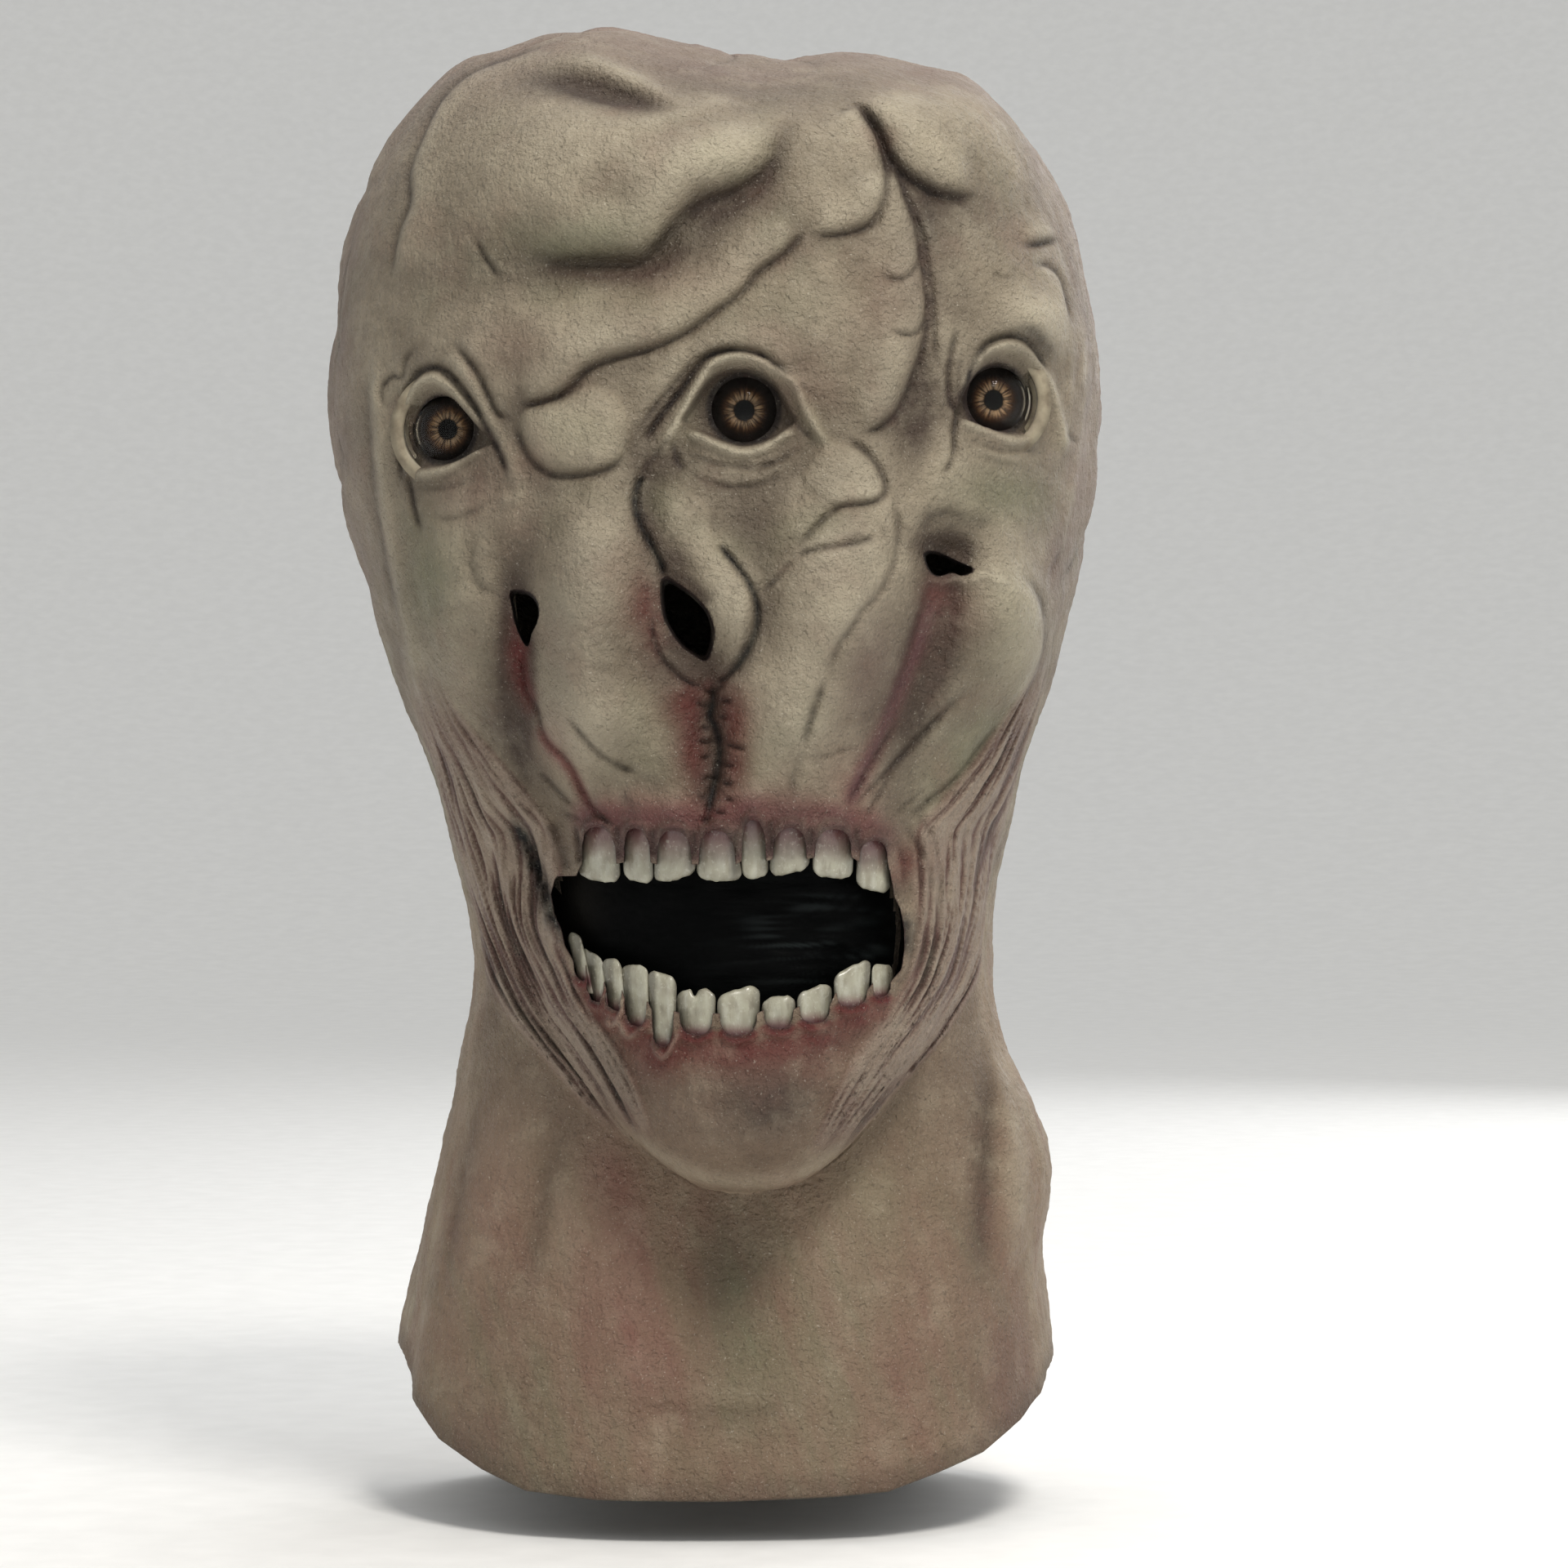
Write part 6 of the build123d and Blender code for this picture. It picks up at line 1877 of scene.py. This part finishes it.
def add_range(tree, value, low, high, to_low, to_high):
    node = tree.nodes.new("ShaderNodeMapRange")
    for key, number in (("From Min", low), ("From Max", high), ("To Min", to_low), ("To Max", to_high)):
        node.inputs[key].default_value = number
    tree.links.new(value, node.inputs["Value"])
    return node.outputs["Result"]


def add_tint(tree, colour, other, factor, blend="MIX"):
    """Colour mixed towards a fixed colour by a factor that varies over the surface."""
    node = tree.nodes.new("ShaderNodeMix")
    node.data_type = "RGBA"
    node.blend_type = blend
    tree.links.new(factor, node.inputs["Factor"])
    tree.links.new(colour, node.inputs["A"])
    node.inputs["B"].default_value = (*other, 1)
    return node.outputs["Result"]


def add_bump(tree, layers):
    """Chain of bumps from (height, strength, distance in metres)."""
    normal = None
    for height, strength, distance in layers:
        node = tree.nodes.new("ShaderNodeBump")
        node.inputs["Strength"].default_value = strength
        node.inputs["Distance"].default_value = distance
        tree.links.new(height, node.inputs["Height"])
        if normal is not None:
            tree.links.new(normal, node.inputs["Normal"])
        normal = node.outputs["Normal"]
    return normal


def painted(tree):
    node = tree.nodes.new("ShaderNodeAttribute")
    node.attribute_name = "Paint"
    return node.outputs["Color"]


def skin_material():
    """Painted latex: blotchy airbrush, specks, pores and a satin that varies."""
    material, tree, shader = new_material("painted_latex")
    colour = painted(tree)
    blotch = add_noise(tree, 90, 4)
    colour = add_tint(tree, colour, linear(96, 84, 64), add_range(tree, blotch, 0.50, 0.78, 0.0, 0.16))
    colour = add_tint(tree, colour, linear(206, 196, 170), add_range(tree, blotch, 0.48, 0.24, 0.0, 0.14))
    rosy = add_noise(tree, 45, 3)
    colour = add_tint(tree, colour, linear(134, 92, 84), add_range(tree, rosy, 0.56, 0.76, 0.0, 0.16))
    specks = add_noise(tree, 620, 2)
    colour = add_tint(tree, colour, linear(78, 66, 54), add_range(tree, specks, 0.60, 0.74, 0.0, 0.34))
    dust = add_noise(tree, 1500, 2)
    colour = add_tint(tree, colour, linear(226, 220, 204), add_range(tree, dust, 0.63, 0.76, 0.0, 0.26))
    tree.links.new(colour, shader.inputs["Base Color"])
    sheen = add_noise(tree, 160, 4)
    tree.links.new(add_range(tree, sheen, 0.3, 0.7, 0.46, 0.68), shader.inputs["Roughness"])
    shader.inputs["Specular IOR Level"].default_value = 0.38
    pores = add_noise(tree, 1000, 3)
    wrinkles = add_noise(tree, 420, 4, 0.65)
    normal = add_bump(tree, ((wrinkles, 1.0, 0.0018), (pores, 0.9, 0.0008)))
    tree.links.new(normal, shader.inputs["Normal"])
    return material


def mouth_material():
    """Glossy black lining, streaky where the brush ran."""
    material, tree, shader = new_material("black_lining")
    colour = painted(tree)
    streaks = add_noise(tree, 420, 4, stretch=(0.14, 1, 1))
    colour = add_tint(tree, colour, linear(24, 26, 26), add_range(tree, streaks, 0.62, 0.85, 0.0, 0.12))
    tree.links.new(colour, shader.inputs["Base Color"])
    tree.links.new(add_range(tree, streaks, 0.3, 0.7, 0.5, 0.7), shader.inputs["Roughness"])
    shader.inputs["Specular IOR Level"].default_value = 0.05
    fine = add_noise(tree, 700, 3)
    tree.links.new(add_bump(tree, ((streaks, 0.35, 0.001), (fine, 0.15, 0.0003))), shader.inputs["Normal"])
    return material


def tooth_material():
    """Yellowed teeth with stains, fine vertical cracks and a wet gloss."""
    material, tree, shader = new_material("tooth_enamel")
    colour = painted(tree)
    grime = add_noise(tree, 380, 5, 0.62, (1, 1, 0.35))
    colour = add_tint(tree, colour, linear(84, 74, 58), add_range(tree, grime, 0.55, 0.74, 0.0, 0.45))
    chalk = add_noise(tree, 900, 3)
    colour = add_tint(tree, colour, linear(206, 204, 190), add_range(tree, chalk, 0.58, 0.72, 0.0, 0.35))
    tree.links.new(colour, shader.inputs["Base Color"])
    tree.links.new(add_range(tree, grime, 0.35, 0.7, 0.22, 0.48), shader.inputs["Roughness"])
    shader.inputs["Coat Weight"].default_value = 0.25
    shader.inputs["Coat Roughness"].default_value = 0.12
    tree.links.new(add_bump(tree, ((grime, 0.3, 0.0006), (chalk, 0.2, 0.0003))), shader.inputs["Normal"])
    return material


def iris_material():
    material, tree, shader = new_material("painted_iris")
    colour = painted(tree)
    flecks = add_noise(tree, 1400, 3)
    colour = add_tint(tree, colour, linear(14, 9, 6), add_range(tree, flecks, 0.52, 0.70, 0.0, 0.45))
    tree.links.new(colour, shader.inputs["Base Color"])
    tree.links.new(add_range(tree, flecks, 0.3, 0.7, 0.3, 0.5), shader.inputs["Roughness"])
    shader.inputs["Specular IOR Level"].default_value = 0.1
    tree.links.new(add_bump(tree, ((flecks, 0.3, 0.0003),)), shader.inputs["Normal"])
    return material


def dome_material():
    """Clear acrylic with faint smears."""
    material, tree, shader = new_material("clear_acrylic")
    shader.inputs["Base Color"].default_value = (0.97, 0.97, 0.96, 1)
    shader.inputs["Transmission Weight"].default_value = 1.0
    shader.inputs["IOR"].default_value = 1.15
    smears = add_noise(tree, 300, 3)
    tree.links.new(add_range(tree, smears, 0.4, 0.75, 0.01, 0.07), shader.inputs["Roughness"])
    tree.links.new(add_bump(tree, ((smears, 0.04, 0.0003),)), shader.inputs["Normal"])
    return material


def plain_rubber(name, first, second, roughness, scale):
    """Speckled rubber or plastic for the pieces behind the face."""
    material, tree, shader = new_material(name)
    patches = add_noise(tree, scale, 4)
    ramp = tree.nodes.new("ShaderNodeValToRGB")
    ramp.color_ramp.elements[0].color = (*first, 1)
    ramp.color_ramp.elements[1].color = (*second, 1)
    ramp.color_ramp.elements[0].position = 0.35
    ramp.color_ramp.elements[1].position = 0.68
    tree.links.new(patches, ramp.inputs["Fac"])
    tree.links.new(ramp.outputs["Color"], shader.inputs["Base Color"])
    tree.links.new(add_range(tree, patches, 0.3, 0.7, roughness, roughness + 0.15),
                   shader.inputs["Roughness"])
    tree.links.new(add_bump(tree, ((patches, 0.3, 0.0006),)), shader.inputs["Normal"])
    return material


# ---------------------------------------------------------------------------
# Stage: floor, light and camera
# ---------------------------------------------------------------------------
FLOOR_FLAT_R = 3.0         # metres from the middle to where the floor starts to curl up
FLOOR_CURL_R = 5.0         # metres, radius of the curl


def build_stage():
    """Round floor that is flat in the middle and curls up far away, which leaves only a soft horizon."""
    points, faces, around = [(0, 0, -0.0005)], [], 96
    profile = [(FLOOR_FLAT_R, 0.0)]
    for a in np.linspace(0.05, 1.3, 22):
        profile.append((FLOOR_FLAT_R + FLOOR_CURL_R * math.sin(a),
                        FLOOR_CURL_R - FLOOR_CURL_R * math.cos(a)))
    for radius, height in profile:
        for i in range(around):
            a = 2 * math.pi * i / around
            points.append((radius * math.cos(a), radius * math.sin(a), height - 0.0005))
    for i in range(around):
        j = (i + 1) % around
        faces.append((0, 1 + i, 1 + j))
        for ring in range(len(profile) - 1):
            a = 1 + ring * around
            faces.append((a + i, a + around + i, a + around + j, a + j))
    mesh = bpy.data.meshes.new("floor")
    mesh.from_pydata(points, [], faces)
    mesh.shade_smooth()
    floor = bpy.data.objects.new("floor", mesh)
    bpy.context.scene.collection.objects.link(floor)
    mesh.materials.append(plain_rubber("floor_paint", (0.86, 0.86, 0.85), (0.90, 0.90, 0.89), 0.8, 60))


def add_light(name, place, aim, size, power, colour=(1, 1, 1)):
    light = bpy.data.lights.new(name, "AREA")
    light.size = size
    light.energy = power
    light.color = colour
    lamp = bpy.data.objects.new(name, light)
    lamp.location = place
    lamp.rotation_euler = (mathutils.Vector(aim) - mathutils.Vector(place)).to_track_quat("-Z",
                                        "Y").to_euler()
    bpy.context.scene.collection.objects.link(lamp)


def build_lights():
    world = bpy.data.worlds.new("studio")
    world.use_nodes = True
    world.node_tree.nodes["Background"].inputs["Color"].default_value = (0.98, 0.98, 0.97, 1)
    world.node_tree.nodes["Background"].inputs["Strength"].default_value = 0.62
    bpy.context.scene.world = world
    aim = (0, 0, 0.24)
    add_light("key", (0.40, -0.95, 1.45), aim, 0.4, 18, (1.0, 0.96, 0.90))
    add_light("top", (0.2, 0.2, 1.7), aim, 1.0, 6)
    add_light("back", (0.9, 1.5, 0.9), aim, 1.2, 9)
    bpy.context.scene.view_settings.view_transform = "Standard"


def build_camera():
    data = bpy.data.cameras.new("camera")
    data.sensor_width = 36.0
    data.lens = data.sensor_width * CAMERA_DISTANCE / VIEW_WIDTH
    data.clip_start = 0.05
    camera = bpy.data.objects.new("camera", data)
    camera.location = (CAMERA_X * MM, -CAMERA_DISTANCE * MM, CAMERA_Z * MM)
    camera.rotation_euler = (math.pi / 2, 0, 0)
    bpy.context.scene.collection.objects.link(camera)
    bpy.context.scene.camera = camera


# ---------------------------------------------------------------------------
# Putting it together
# ---------------------------------------------------------------------------
sculpt()
relief.value += 1.05 * relief.blurred(4.5) + 0.5 * relief.blurred(9.0)
# Relief at three scales and the blurred crease lines, for the painted shade and painted highlight of the
# skin.
relief_wide = Field()
relief_wide.value = relief.blurred(16.0) - relief.blurred(5.0)
relief_broad = Field()
relief_broad.value = relief.blurred(7.0) - relief.blurred(1.6)
relief_fine = Field()
relief_fine.value = relief.blurred(1.6) - relief.value
shade_beside_creases = Field()
shade_beside_creases.value = 0.7 * paint["ink"].blurred(2.2)

build_skin(skin_material())
build_lining(mouth_material())
build_teeth(tooth_material())
build_eyes(dome_material(), iris_material(),
           plain_rubber("white_plastic", linear(226, 222, 208), linear(204, 196, 176), 0.3, 140),
           plain_rubber("collar_rubber", linear(150, 140, 118), linear(110, 98, 80), 0.55, 220))
build_stage()
build_lights()
build_camera()
